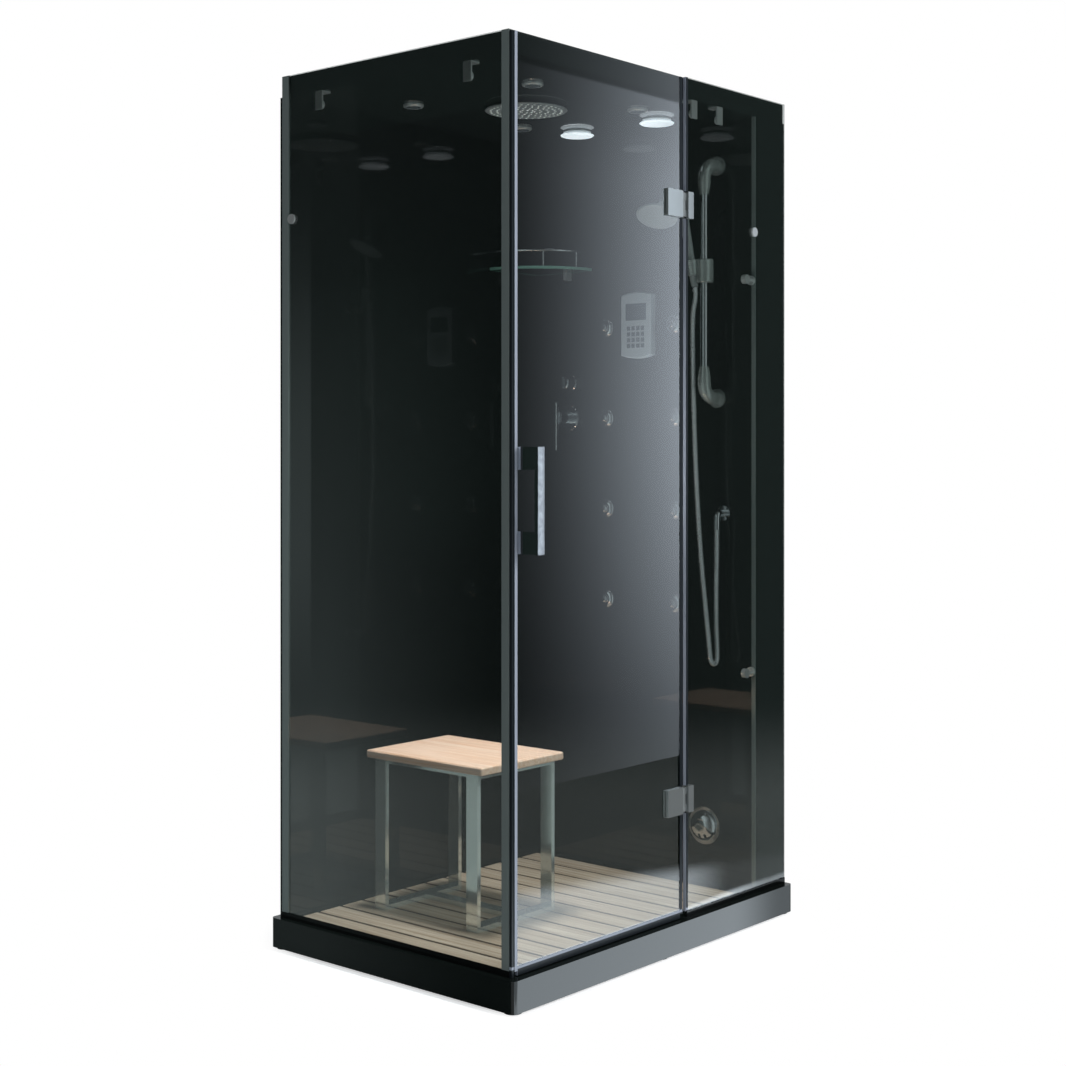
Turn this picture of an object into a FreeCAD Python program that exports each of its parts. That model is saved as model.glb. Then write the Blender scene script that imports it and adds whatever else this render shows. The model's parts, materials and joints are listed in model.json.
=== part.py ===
"""Steam shower cabin: black tray, walls and roof, glass front and side, hinged glass door, fittings and stool.

Millimetres, +Z up. The origin is the middle of the tray's footprint, on the floor. The door faces -Y, the
side glass faces -X, the back wall is at +Y and the service column with all the fittings is at +X.
"""
import FreeCAD, Part
import math
import operator
import os

import Sketcher
from FreeCAD import Placement, Rotation, Vector

doc = FreeCAD.newDocument("SteamShower")

# ---------------------------------------------------------------- driving dimensions
SIZES = {
    # tray
    "tray_length": 1120.0, "tray_depth": 800.0, "tray_height": 76.0, "tray_corner": 12.0, "tray_skin": 5.0,
    "skirt_gap": 4.0, "basin_depth": 38.0, "basin_corner": 20.0, "rim_left": 28.0, "rim_front": 42.0,
    "rim_back": 8.0, "rim_right": 13.0,
    # feet, frame and drain
    "foot_height": 14.0, "foot_radius": 20.0, "foot_disc": 5.0, "stud_radius": 5.0, "rail_width": 20.0,
    "frame_inset": 15.0, "cross_pitch": 212.0, "drain_left": 47.5, "drain_back": 173.0, "waste_radius": 38.0,
    "waste_flange": 45.0, "waste_lip": 2.0, "waste_wall": 4.0, "outlet_radius": 20.0, "outlet_wall": 3.0,
    "outlet_lift": 3.0, "drain_cover_radius": 55.0, "drain_clear": 28.0, "drain_cover_thickness": 2.5,
    "drain_slot_radius": 4.0, "drain_slot_ring": 27.0,
    # enclosure
    "cabin_height": 2150.0, "front_ledge": 24.0, "left_ledge": 19.0, "right_ledge": 2.0, "back_ledge": 14.0,
    "glass": 6.0, "wall_thickness": 8.0, "service_width": 134.0, "cover_sheet": 3.0, "post_width": 20.0,
    "post_wall": 2.0, "roof_height": 51.0, "roof_skin": 5.0, "roof_gap": 3.0, "fit_gap": 0.3,
    # glass profiles and seals
    "profile_wall": 1.5, "profile_lead": 7.0, "front_profile": 21.0, "back_profile": 23.0,
    "channel_height": 14.0, "glass_lift": 2.0, "wall_trim": 12.0, "seal_wall": 1.2, "seal_grip": 4.5,
    "seal_reach": 5.0, "magnet_width": 7.0, "door_bottom_gap": 12.0, "door_top_gap": 3.0,
    "door_edge_gap": 14.0, "sweep_height": 20.0,
    # clamps
    "clamp_width": 24.0, "clamp_height": 45.0, "clamp_foot": 28.0, "clamp_plate": 4.0, "clamp_button": 11.0,
    "button_depth": 6.0, "side_clamp_front": 135.0, "side_clamp_back": 129.0, "front_clamp_left": 49.0,
    "front_clamp_right": 164.0, "tie_low": 574.0, "tie_high": 1596.0, "tie_reach": 38.0, "tie_rod": 4.0,
    "cap_radius": 12.0, "cap_depth": 4.0, "cap_height": 1720.0,
    # hinges
    "hinge_position": 641.0, "hinge_low": 291.0, "hinge_high": 1758.0, "leaf_height": 66.0,
    "leaf_thickness": 7.0, "door_leaf": 62.0, "fixed_leaf": 22.0, "leaf_gap": 11.0, "knuckle_radius": 7.0,
    "pin_radius": 3.0, "pin_play": 0.05, "door_knuckle": 24.0, "fixed_knuckle": 17.0, "knuckle_play": 0.3,
    "hinge_edge": 12.0, "web_depth": 19.0, "web_inset": 3.0, "leaf_corner": 2.0,
    # door handle
    "handle_offset": 30.0, "handle_bottom": 925.0, "handle_length": 235.0, "handle_width": 22.0,
    "handle_bar": 10.0, "handle_reach": 60.0, "handle_block": 50.0, "handle_bolt": 5.0, "handle_cap": 11.0,
    "handle_cap_depth": 5.0,
    # steam outlet, generator and pipes
    "steam_inset": 162.0, "steam_z": 151.0, "dome_radius": 50.0, "hood_radius": 41.0, "dome_height": 28.0,
    "dome_skin": 3.0, "steam_pipe": 12.0, "generator_width": 100.0, "generator_depth": 300.0,
    "generator_height": 400.0, "generator_gap": 18.0, "pipe_radius": 8.0, "pipe_bend": 18.0,
    "pipe_lift": 24.0, "branch_step": 1.5, "stub_gap": 1.0, "stub_radius": 10.5, "cold_inset": 88.0,
    "hot_inset": 43.0, "inlet_height": 1024.0, "manifold_set_back": 26.0,
    # mixer and diverter
    "mixer_inset": 116.0, "mixer_z": 1244.0, "diverter_inset": 123.0, "diverter_z": 1344.0,
    "plate_radius": 38.0, "plate_depth": 6.0, "collar_radius": 20.0, "collar_depth": 8.0, "stem_radius": 11.0,
    "spindle_radius": 6.0, "valve_depth": 40.0, "valve_height": 48.0, "valve_width": 40.0, "lever_hub": 19.0,
    "lever_reach": 52.0, "lever_bar": 12.0, "lever_width": 14.0, "lever_below": 91.0, "lever_above": 44.0,
    "knob_plate": 24.0, "knob_radius": 21.0, "knob_depth": 28.0, "knob_grip": 5.0, "running_gap": 0.5,
    # body jets
    "jet_forward": 109.0, "jet_backward": 125.0, "jet_low_z": 738.0, "jet_step": 252.0, "jet_flange": 26.0,
    "jet_ring": 9.5, "jet_ball": 12.0, "jet_ball_play": 0.3, "jet_tip": 10.0, "jet_bore": 3.0,
    "jet_tail": 12.0, "jet_tail_length": 18.0,
    # riser bar, bracket, hand shower
    "bar_inset": 120.0, "bar_stand_off": 62.0, "bar_radius": 11.0, "bar_drop": 169.0, "bar_length": 512.0,
    "elbow_radius": 17.0, "sleeve_length": 30.0, "elbow_rise": 52.0, "elbow_bend": 40.0, "elbow_flange": 25.0,
    "elbow_flange_depth": 6.0, "bracket_lift": 250.0, "bracket_radius": 24.0, "bracket_length": 62.0,
    "socket_radius": 16.0, "socket_length": 40.0, "socket_play": 0.3, "grip_radius": 10.0,
    "grip_length": 170.0, "head_radius": 54.0, "head_depth": 16.0, "neck_radius": 9.0, "foot_left": 18.0,
    "foot_back": 21.0, "foot_up": 12.0, "grip_left": 44.0, "grip_back": 36.0, "grip_up": 200.0,
    "head_left": 94.0, "head_back": 84.0, "head_up": 176.0,
    # hose and its outlet
    "hose_radius": 7.0, "hose_nut": 9.2, "hose_nut_length": 22.0, "outlet_inset": 98.0, "outlet_z": 986.0,
    "outlet_reach": 36.0, "outlet_drop": 42.0, "outlet_tube": 9.0, "outlet_flange": 20.0,
    "hose_sag": 352.0, "joint_right": 4.6, "joint_back": 6.4, "joint_down": 140.0,
    # control panel
    "panel_shift": 7.0, "panel_z": 1496.0, "panel_width": 104.0, "panel_height": 165.0, "panel_depth": 20.0,
    "panel_bulge": 9.0, "panel_edge": 4.0, "screen_width": 70.0, "screen_height": 46.0, "screen_up": 36.0,
    "screen_depth": 2.0, "key_pitch": 16.0, "key_size": 11.0, "key_rise": 1.2, "keypad_down": 33.0,
    "keypad_size": 68.0,
    # ceiling
    "spot_x": 205.0, "spot_y": 195.0, "spot_radius": 26.0, "spot_drop": 7.0, "spot_can": 18.0,
    "spot_can_height": 26.0, "lens_radius": 19.0, "lens_depth": 3.0, "disc_x": 344.0, "disc_y": 135.0,
    "disc_shift": 18.0, "collar_ring": 30.0, "collar_drop": 8.0, "disc_radius": 46.0, "disc_thickness": 6.0,
    "duct_radius": 26.0, "rain_radius": 102.0, "rain_drop": 11.0, "rain_thickness": 7.0,
    "nipple_radius": 11.0, "nipple_height": 16.0, "fan_box": 110.0, "fan_height": 36.0, "fan_bore": 46.0,
    "fan_floor": 3.0, "rotor_radius": 42.0, "rotor_hub": 15.0, "rotor_height": 16.0, "blade_thickness": 1.6,
    "blade_pitch": 32.0, "axle_radius": 3.0,
    # shelf
    "shelf_radius": 200.0, "shelf_height": 1657.0, "shelf_glass": 8.0, "rail_height": 45.0,
    "rail_radius": 4.0, "rail_inset": 10.0, "bracket_size": 22.0, "bracket_depth": 12.0,
    # duckboard
    "deck_margin": 8.0, "slat_count": 12, "slat_gap": 5.0, "slat_thickness": 18.0, "slat_round": 4.0,
    "batten_height": 14.0, "batten_width": 40.0, "batten_inset": 46.0,
    # stool
    "stool_left": 116.5, "stool_back": 104.0, "seat_length": 300.0, "seat_depth": 396.0,
    "seat_thickness": 20.0, "seat_height": 400.0, "seat_round": 5.0, "stool_frame_length": 280.0,
    "stool_frame_depth": 350.0, "flat_width": 36.0, "flat_thickness": 12.0, "stretcher_share": 0.6,
}

sheet = doc.addObject("Spreadsheet::Sheet", "Dims")
for row, (alias, value) in enumerate(SIZES.items(), 1):
    sheet.set(f"A{row}", alias)
    sheet.set(f"B{row}", str(value))
    sheet.setAlias(f"B{row}", alias)
doc.recompute()

OPERATORS = {"+": operator.add, "-": operator.sub, "*": operator.mul, "/": operator.truediv}


class Size:
    """A length that knows both its number and the spreadsheet expression that gives it."""

    def __init__(self, number, text):
        self.number = float(number)
        self.text = text

    def join(self, other, symbol, swap=False):
        """The sum, difference, product or quotient of two sizes."""
        first, second = (as_size(other), self) if swap else (self, as_size(other))
        number = OPERATORS[symbol](first.number, second.number)
        return Size(number, f"({first.text} {symbol} {second.text})")

    def __add__(self, other):
        return self.join(other, "+")

    def __radd__(self, other):
        return self.join(other, "+", True)

    def __sub__(self, other):
        return self.join(other, "-")

    def __rsub__(self, other):
        return self.join(other, "-", True)

    def __mul__(self, other):
        return self.join(other, "*")

    def __rmul__(self, other):
        return self.join(other, "*", True)

    def __truediv__(self, other):
        return self.join(other, "/")

    def __neg__(self):
        return as_size(0).join(self, "-")

    def __float__(self):
        return self.number


def as_size(value):
    """A plain number as a Size, or the Size itself."""
    return value if isinstance(value, Size) else Size(value, repr(float(value)))


class Dimensions:
    """The spreadsheet's cells by name."""

    def __getattr__(self, alias):
        return Size(sheet.get(alias), f"Dims.{alias}")


D = Dimensions()

# planes that everything is set out from
LEFT = -D.tray_length / 2 + D.left_ledge
RIGHT = D.tray_length / 2 - D.right_ledge
FRONT = -D.tray_depth / 2 + D.front_ledge
BACK = D.tray_depth / 2 - D.back_ledge
LEFT_IN = LEFT + D.glass
FRONT_IN = FRONT + D.glass
WALL_X = RIGHT - D.service_width
WALL_Y = BACK - D.wall_thickness
RIM = D.tray_height
BASIN = RIM - D.basin_depth
UNDERSIDE = BASIN - D.tray_skin
TOP = D.cabin_height
CEILING = TOP - D.roof_height
AXIS_X = LEFT + D.hinge_position
AXIS_Y = FRONT + D.glass / 2
DOOR_LEFT = LEFT + D.door_edge_gap
DOOR_RIGHT = AXIS_X - D.hinge_edge
DOOR_BOTTOM = RIM + D.door_bottom_gap
DOOR_TOP = TOP - D.door_top_gap
FIXED_LEFT = AXIS_X + D.hinge_edge
GLASS_BOTTOM = RIM + D.glass_lift
ROOM_X = (LEFT + WALL_X) / 2
ROOM_Y = (FRONT + WALL_Y) / 2
HINGES = (RIM + D.hinge_low, RIM + D.hinge_high)
BAR_X = WALL_X - D.bar_stand_off
PIPE_X = WALL_X + D.wall_thickness + D.valve_depth / 2
DRAIN_X, DRAIN_Y = ROOM_X - D.drain_left, BACK - D.drain_back
BAR_Y = FRONT_IN + D.bar_inset
BAR_TOP = CEILING - D.bar_drop
BAR_LOW = BAR_TOP - D.bar_length
BRACKET_Z = BAR_LOW + D.bracket_lift
STEAM_Y, STEAM_Z = FRONT_IN + D.steam_inset, RIM + D.steam_z
OUTLET_Y, OUTLET_Z = FRONT_IN + D.outlet_inset, RIM + D.outlet_z
MIXER_Y, MIXER_Z = WALL_Y - D.mixer_inset, RIM + D.mixer_z
DIVERTER_Y, DIVERTER_Z = WALL_Y - D.diverter_inset, RIM + D.diverter_z
JET_FRONT_Y, JET_BACK_Y = ROOM_Y - D.jet_forward, ROOM_Y + D.jet_backward
COLD_X, HOT_X = RIGHT - D.cold_inset, RIGHT - D.hot_inset
GENERATOR_Y = WALL_Y - D.post_width - D.generator_gap - D.generator_depth

TURNS = {
    "z": Rotation(), "x": Rotation(Vector(0, 1, 0), 90), "y": Rotation(Vector(1, 0, 0), -90),
    "-z": Rotation(Vector(1, 0, 0), 180), "-x": Rotation(Vector(0, 1, 0), -90),
    "-y": Rotation(Vector(1, 0, 0), 90),
}
nodes = []


# ---------------------------------------------------------------- helpers
def node(name, piece):
    """Files a finished piece under the name of its node."""
    piece.Label = name
    nodes.append(piece)
    return piece


def place(piece, corner, axis="z"):
    """Turns the piece's own Z along axis and binds its position to the sheet."""
    piece.Placement = Placement(Vector(), TURNS[axis])
    for letter, size in zip("xyz", corner):
        piece.setExpression(f"Placement.Base.{letter}", as_size(size).text)
    return piece


def box(name, x, y, z):
    """A box from its (low, high) limits along each axis."""
    piece = doc.addObject("Part::Box", name)
    for prop, (low, high) in zip(("Length", "Width", "Height"), (x, y, z)):
        piece.setExpression(prop, (as_size(high) - low).text)
    return place(piece, (x[0], y[0], z[0]))


def around(centre, width):
    """The (low, high) limits of something of this width on a centre."""
    half = as_size(width) / 2
    return centre - half, centre + half


def rod(name, start, axis, radius, length):
    """A round bar from the middle of its first end along an axis."""
    piece = doc.addObject("Part::Cylinder", name)
    piece.setExpression("Radius", as_size(radius).text)
    piece.setExpression("Height", as_size(length).text)
    return place(piece, start, axis)


def cut(name, base, *tools):
    """The base without its tools."""
    piece = doc.addObject("Part::Cut", name)
    piece.Base = base
    piece.Tool = tools[0] if len(tools) == 1 else group(f"{name}_tools", *tools)
    return piece


def fuse(name, *pieces):
    """Pieces joined into one solid."""
    piece = doc.addObject("Part::MultiFuse", name)
    piece.Shapes = list(pieces)
    return piece


def group(name, *pieces):
    """Separate solids that share a node."""
    piece = doc.addObject("Part::Compound", name)
    piece.Links = list(pieces)
    return piece


def soften(name, base, radius, wanted):
    """Rounds the edges of base that wanted accepts."""
    doc.recompute()
    piece = doc.addObject("Part::Fillet", name)
    piece.Base = base
    size = float(radius)
    piece.Edges = [(i, size, size) for i, edge in enumerate(base.Shape.Edges, 1) if wanted(edge)]
    return piece


def runs_along(axis):
    """Accepts the straight edges that run along an axis."""
    direction = {"x": Vector(1, 0, 0), "y": Vector(0, 1, 0), "z": Vector(0, 0, 1)}[axis]

    def wanted(edge):
        if edge.Curve.TypeId != "Part::GeomLine":
            return False
        return abs(abs(edge.Curve.Direction.dot(direction)) - 1) < 1e-6

    return wanted


def any_edge(edge):
    """Accepts every edge."""
    return edge.Length > 0


def new_body(name):
    """A PartDesign body and a function that adds a sketch on one of its own origin planes."""
    body = doc.addObject("PartDesign::Body", name)

    def sketch_on(role, suffix="sketch"):
        plane = next(f for f in body.Origin.OriginFeatures if f.Role == role)
        sketch = body.newObject("Sketcher::SketchObject", f"{name}_{suffix}")
        sketch.AttachmentSupport = [(plane, "")]
        sketch.MapMode = "FlatFace"
        return sketch

    return body, sketch_on


def pin_point(sketch, curve, end, point):
    """Binds the end of a curve to a (u, v) point of the sheet."""
    for kind, size in zip(("DistanceX", "DistanceY"), point):
        index = sketch.addConstraint(Sketcher.Constraint(kind, -1, 1, curve, end, float(size)))
        sketch.setExpression(f"Constraints[{index}]", as_size(size).text)


def add_arc(sketch, start, via, end):
    """An arc held to a bound point on its way; gives the sketch's number for the end at start."""
    flat = [Vector(float(point[0]), float(point[1]), 0) for point in (start, via, end)]
    middle = Part.Arc(*flat).toShape().Curve.Center
    ring = Part.Circle(middle, Vector(0, 0, 1), middle.distanceToPoint(flat[0]))
    forward = (flat[1] - flat[0]).cross(flat[2] - flat[1]).z > 0
    ends = [math.atan2(point.y - middle.y, point.x - middle.x) for point in (flat[0], flat[2])]
    if not forward:
        ends.reverse()
    curve = sketch.addGeometry(Part.ArcOfCircle(ring, *ends))
    mark = sketch.addGeometry(Part.Point(flat[1]), True)
    pin_point(sketch, mark, 1, via)
    sketch.addConstraint(Sketcher.Constraint("PointOnObject", mark, 1, curve))
    return curve, 1 if forward else 2


def outline(sketch, corners):
    """A closed outline through (u, v) corners; a third item, a (u, v) point, bends the side that follows."""
    for i, corner in enumerate(corners):
        following = corners[(i + 1) % len(corners)]
        if len(corner) == 3:
            curve, begin = add_arc(sketch, corner, corner[2], following)
        else:
            ends = [Vector(float(point[0]), float(point[1]), 0) for point in (corner, following)]
            curve, begin = sketch.addGeometry(Part.LineSegment(*ends)), 1
        pin_point(sketch, curve, begin, corner[:2])
        pin_point(sketch, curve, 3 - begin, following[:2])


def circle(sketch, centre, radius):
    """A circle bound to the sheet."""
    middle = Vector(float(centre[0]), float(centre[1]), 0)
    curve = sketch.addGeometry(Part.Circle(middle, Vector(0, 0, 1), float(radius)))
    pin_point(sketch, curve, 3, centre)
    index = sketch.addConstraint(Sketcher.Constraint("Radius", curve, float(radius)))
    sketch.setExpression(f"Constraints[{index}]", as_size(radius).text)


def pad(body, sketch, length, reverse=False):
    """Raises a sketch into a plate."""
    feature = body.newObject("PartDesign::Pad", f"{body.Name}_pad")
    feature.Profile = sketch
    feature.setExpression("Length", as_size(length).text)
    feature.Reversed = reverse
    return feature


def panel(name, role, corners, thickness, at, holes=(), notches=()):
    """A sheet standing in an origin plane's direction, from face position at, with round holes and notches."""
    body, sketch_on = new_body(name)
    sketch = sketch_on(role)
    outline(sketch, corners)
    for centre, radius in holes:
        circle(sketch, centre, radius)
    pad(body, sketch, thickness, reverse=role == "XZ_Plane")
    letter = {"YZ_Plane": "x", "XZ_Plane": "y", "XY_Plane": "z"}[role]
    body.setExpression(f"Placement.Base.{letter}", as_size(at).text)
    if notches:
        return cut(f"{name}_notched", body, *notches)
    return body


def rectangle(low, high):
    """The four corners of an upright rectangle."""
    return [low, (high[0], low[1]), high, (low[0], high[1])]


def turned(name, profile, centre, axis="z"):
    """A turned piece: a closed (radius, height) profile spun about an axis through centre."""
    body, sketch_on = new_body(name)
    sketch = sketch_on("XZ_Plane")
    outline(sketch, profile)
    spin = body.newObject("PartDesign::Revolution", f"{name}_spin")
    spin.Profile = sketch
    spin.ReferenceAxis = (sketch, ["V_Axis"])
    spin.Angle = 360
    return place(body, centre, axis)


def bent_path(route, bend=None):
    """Straight runs joined by tangent arcs through a route. Without a bend radius each arc is as large as fits."""
    points = [Vector(*[float(size) for size in point]) for point in route]
    edges, here, radii = [], points[0], []
    for before, corner, after in zip(points, points[1:], points[2:]):
        back, ahead = before - corner, after - corner
        half_turn = (math.pi - back.getAngle(ahead)) / 2
        radius = bend or 0.45 * min(back.Length, ahead.Length) / math.tan(half_turn)
        reach = radius * math.tan(half_turn)
        start = corner + back.normalize() * reach
        end = corner + ahead.normalize() * reach
        inward = (back + ahead).normalize()
        middle = corner + inward * (radius / math.cos(half_turn) - radius)
        edges += [Part.LineSegment(here, start).toShape(), Part.Arc(start, middle, end).toShape()]
        here = end
        radii.append(radius)
    edges.append(Part.LineSegment(here, points[-1]).toShape())
    return Part.Wire(edges), radii


def round_bar(route, radius, bend=None):
    """A round solid along a route."""
    path, radii = bent_path(route, bend)
    first = path.Edges[0]
    start = first.valueAt(first.FirstParameter)
    ring = Part.Wire(Part.makeCircle(float(radius), start, first.tangentAt(first.FirstParameter)))
    solid = path.makePipeShell([ring], True, False)
    return solid, path.Length, radii


def shaped(name, shape):
    """A piece whose shape is worked out here from the sheet's sizes."""
    piece = doc.addObject("Part::Feature", name)
    piece.Shape = shape
    return piece


# ---------------------------------------------------------------- tray, frame, feet, drain
def build_tray():
    """The tray: skirted shell with a basin that holds the duckboard, and a deck under the service column."""
    half_x, half_y = D.tray_length / 2, D.tray_depth / 2
    block = box("tray_block", (-half_x, half_x), (-half_y, half_y), (D.skirt_gap, RIM))
    rounded = soften("tray_rounded", block, D.tray_corner, runs_along("z"))
    basin_x = (LEFT + D.rim_left, WALL_X - D.rim_right)
    basin_y = (FRONT + D.rim_front, WALL_Y - D.rim_back)
    basin = soften("tray_basin", box("basin_block", basin_x, basin_y, (BASIN, RIM + 10)),
                   D.basin_corner, runs_along("z"))
    skin = D.tray_skin
    below = box("tray_below", (skin - half_x, half_x - skin), (skin - half_y, half_y - skin),
                (0, UNDERSIDE))
    deck = box("tray_deck_hollow", (basin_x[1] + skin, half_x - skin), (skin - half_y, half_y - skin),
               (0, RIM - skin))
    hole = rod("tray_drain_hole", (DRAIN_X, DRAIN_Y, 0), "z", D.waste_radius + D.fit_gap, RIM)
    node("shower_tray", cut("tray_shell", rounded, basin, below, deck, hole))


def build_frame():
    """A welded rail frame under the tray, on levelling feet."""
    out_x, out_y = D.tray_length / 2 - D.frame_inset, D.tray_depth / 2 - D.frame_inset
    level = (D.foot_height, UNDERSIDE)
    width = D.rail_width
    ring = cut("frame_ring", box("frame_out", (-out_x, out_x), (-out_y, out_y), level),
               box("frame_in", (width - out_x, out_x - width), (width - out_y, out_y - width), (0, RIM)))
    long_rail = box("frame_long", (width - out_x, out_x - width), around(as_size(0), width), level)
    cross = [box(f"frame_cross{i}", around((i - 2) * D.cross_pitch, width), (width - out_y, out_y - width), level)
             for i in range(5)]
    node("tray_frame", fuse("frame_welded", ring, long_rail, *cross))
    mid_x, mid_y = out_x - width / 2, out_y - width / 2
    spots = [(i * mid_x, j * mid_y) for i in (-1, 1) for j in (-1, 1)]
    spots += [(as_size(0), j * mid_y) for j in (-1, 0, 1)]
    feet = []
    for i, (x, y) in enumerate(spots):
        profile = [(0, 0), (D.foot_radius, 0), (D.foot_radius, D.foot_disc - 2), (D.stud_radius * 2, D.foot_disc),
                   (D.stud_radius * 2, D.foot_disc + 3), (D.stud_radius, D.foot_disc + 3),
                   (D.stud_radius, D.foot_height), (0, D.foot_height)]
        feet.append(turned(f"foot{i}", profile, (x, y, 0)))
    node("levelling_feet", group("feet", *feet))


def build_drain():
    """The waste with its dished body and straight tail, and the pierced cover over it."""
    tail, wall, cup = D.outlet_radius, D.outlet_wall, D.waste_radius
    low, seat = D.outlet_lift, BASIN
    profile = [(tail - wall, low), (tail, low), (tail, UNDERSIDE - 11), (cup, UNDERSIDE - 3), (cup, seat),
               (D.waste_flange, seat), (D.waste_flange, seat + D.waste_lip),
               (cup - D.waste_wall, seat + D.waste_lip), (cup - D.waste_wall, UNDERSIDE - 1),
               (tail - wall, UNDERSIDE - 9)]
    node("drain_waste", turned("waste", profile, (DRAIN_X, DRAIN_Y, 0)))
    base = seat + D.waste_lip
    disc = rod("drain_disc", (DRAIN_X, DRAIN_Y, base), "z", D.drain_cover_radius, D.drain_cover_thickness)
    holes = []
    for i in range(8):
        angle = math.radians(45 * i)
        x = DRAIN_X + math.cos(angle) * D.drain_slot_ring
        y = DRAIN_Y + math.sin(angle) * D.drain_slot_ring
        holes.append(rod(f"drain_slot{i}", (x, y, base - 1), "z", D.drain_slot_radius,
                         D.drain_cover_thickness + 2))
    node("drain_cover", cut("drain_grid", disc, *holes))


# ---------------------------------------------------------------- walls, column, roof
def jet_places():
    """The (y, z) centres of the body jets, column by column."""
    columns = (JET_FRONT_Y, JET_BACK_Y)
    return [(y, RIM + D.jet_low_z + i * D.jet_step) for y in columns for i in range(4)]


def build_walls():
    """The back wall, the inner right wall with its pipe holes, and the column's folded cover and posts."""
    inlet_z = RIM + D.inlet_height
    node("back_wall", panel(
        "back_panel", "XZ_Plane", rectangle((LEFT, RIM), (RIGHT - D.cover_sheet, CEILING)), D.wall_thickness,
        WALL_Y, [((x, inlet_z), D.stub_radius + D.fit_gap) for x in (COLD_X, HOT_X)]))
    play = D.fit_gap
    holes = [(place_yz, D.jet_tail + play) for place_yz in jet_places()]
    holes += [((MIXER_Y, MIXER_Z), D.stem_radius + play),
              ((DIVERTER_Y, DIVERTER_Z), D.stem_radius + play),
              ((STEAM_Y, STEAM_Z), D.steam_pipe + play),
              ((OUTLET_Y, OUTLET_Z), D.outlet_tube + play)]
    node("right_wall", panel(
        "right_panel", "YZ_Plane", rectangle((FRONT_IN + D.fit_gap, RIM), (WALL_Y, CEILING)),
        D.wall_thickness, WALL_X, holes))
    side = box("cover_side", (RIGHT - D.cover_sheet, RIGHT), (FRONT_IN + D.fit_gap, BACK), (RIM, CEILING))
    face = box("cover_face", (WALL_X + D.wall_thickness, RIGHT),
               (FRONT_IN + D.fit_gap, FRONT_IN + D.fit_gap + D.cover_sheet), (RIM, CEILING))
    node("service_cover", fuse("cover", side, face))
    posts = []
    near_x, far_x = WALL_X + D.wall_thickness, RIGHT - D.cover_sheet - D.post_width
    near_y, far_y = FRONT_IN + D.fit_gap + D.cover_sheet, WALL_Y - D.post_width
    for i, (x, y) in enumerate([(near_x, near_y), (far_x, near_y), (near_x, far_y), (far_x, far_y)]):
        wall, width = D.post_wall, D.post_width
        outer = box(f"post{i}", (x, x + width), (y, y + width), (RIM, CEILING))
        inner = box(f"post_bore{i}", (x + wall, x + width - wall), (y + wall, y + width - wall),
                    (RIM - 1, CEILING + 1))
        posts.append(cut(f"post_tube{i}", outer, inner))
    node("service_posts", group("posts", *posts))


def spot_places():
    """The (x, y) centres of the four spot lamps, round the middle of the room."""
    return [(ROOM_X + i * D.spot_x, ROOM_Y + j * D.spot_y) for i in (-1, 1) for j in (-1, 1)]


def disc_places():
    """The (x, y) centres of the lamp disc and the ventilation disc."""
    return [(ROOM_X + D.disc_x, ROOM_Y - D.disc_shift + j * D.disc_y) for j in (1, -1)]


def build_roof():
    """The roof: ceiling plate and fascia in one moulding, open on top, with its lamp, pipe and duct holes."""
    skin = D.roof_skin
    low_x, low_y = LEFT_IN + D.roof_gap, FRONT_IN + D.roof_gap
    outer = box("roof_outer", (low_x, RIGHT), (low_y, BACK), (CEILING, TOP))
    inner = box("roof_inner", (low_x + skin, RIGHT - skin), (low_y + skin, BACK - skin), (CEILING + skin, TOP + 1))
    holes = [rod(f"roof_spot{i}", (x, y, CEILING - 1), "z", D.spot_can + D.fit_gap, skin + 2)
             for i, (x, y) in enumerate(spot_places())]
    holes += [rod(f"roof_duct{i}", (x, y, CEILING - 1), "z", D.duct_radius, skin + 2)
              for i, (x, y) in enumerate(disc_places())]
    holes.append(rod("roof_rain", (ROOM_X, ROOM_Y, CEILING - 1), "z", D.nipple_radius + D.fit_gap, skin + 2))
    holes.append(rod("roof_pipe", (PIPE_X, DIVERTER_Y, CEILING - 1), "z", D.pipe_radius + D.fit_gap, skin + 2))
    node("roof_shell", cut("roof", outer, inner, *holes))


# ---------------------------------------------------------------- fixed glass and its trim
def hinge_notches(name, x):
    """Blocks that take the notches for the hinge webs out of a pane's edge."""
    half = D.leaf_height / 2 - D.web_inset + D.fit_gap
    return [box(f"{name}_notch{i}", x, (FRONT - 1, FRONT_IN + 1), (z - half, z + half))
            for i, z in enumerate(HINGES)]


def build_fixed_glass():
    """The side pane and the fixed front pane."""
    node("left_glass", panel(
        "left_pane", "YZ_Plane",
        rectangle((FRONT + D.profile_lead + D.profile_wall, GLASS_BOTTOM), (WALL_Y - D.profile_wall, TOP)),
        D.glass, LEFT))
    web = D.leaf_gap + D.web_depth + D.fit_gap
    node("fixed_front_glass", panel(
        "front_pane", "XZ_Plane", rectangle((FIXED_LEFT, GLASS_BOTTOM), (RIGHT, TOP)), D.glass, FRONT,
        notches=hinge_notches("front", (FIXED_LEFT - 1, AXIS_X + web))))


def channel(name, x, y, z, slot):
    """An extruded profile: a block with the glass's slot cut out."""
    return cut(name, box(f"{name}_block", x, y, z), box(f"{name}_slot", *slot))


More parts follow.
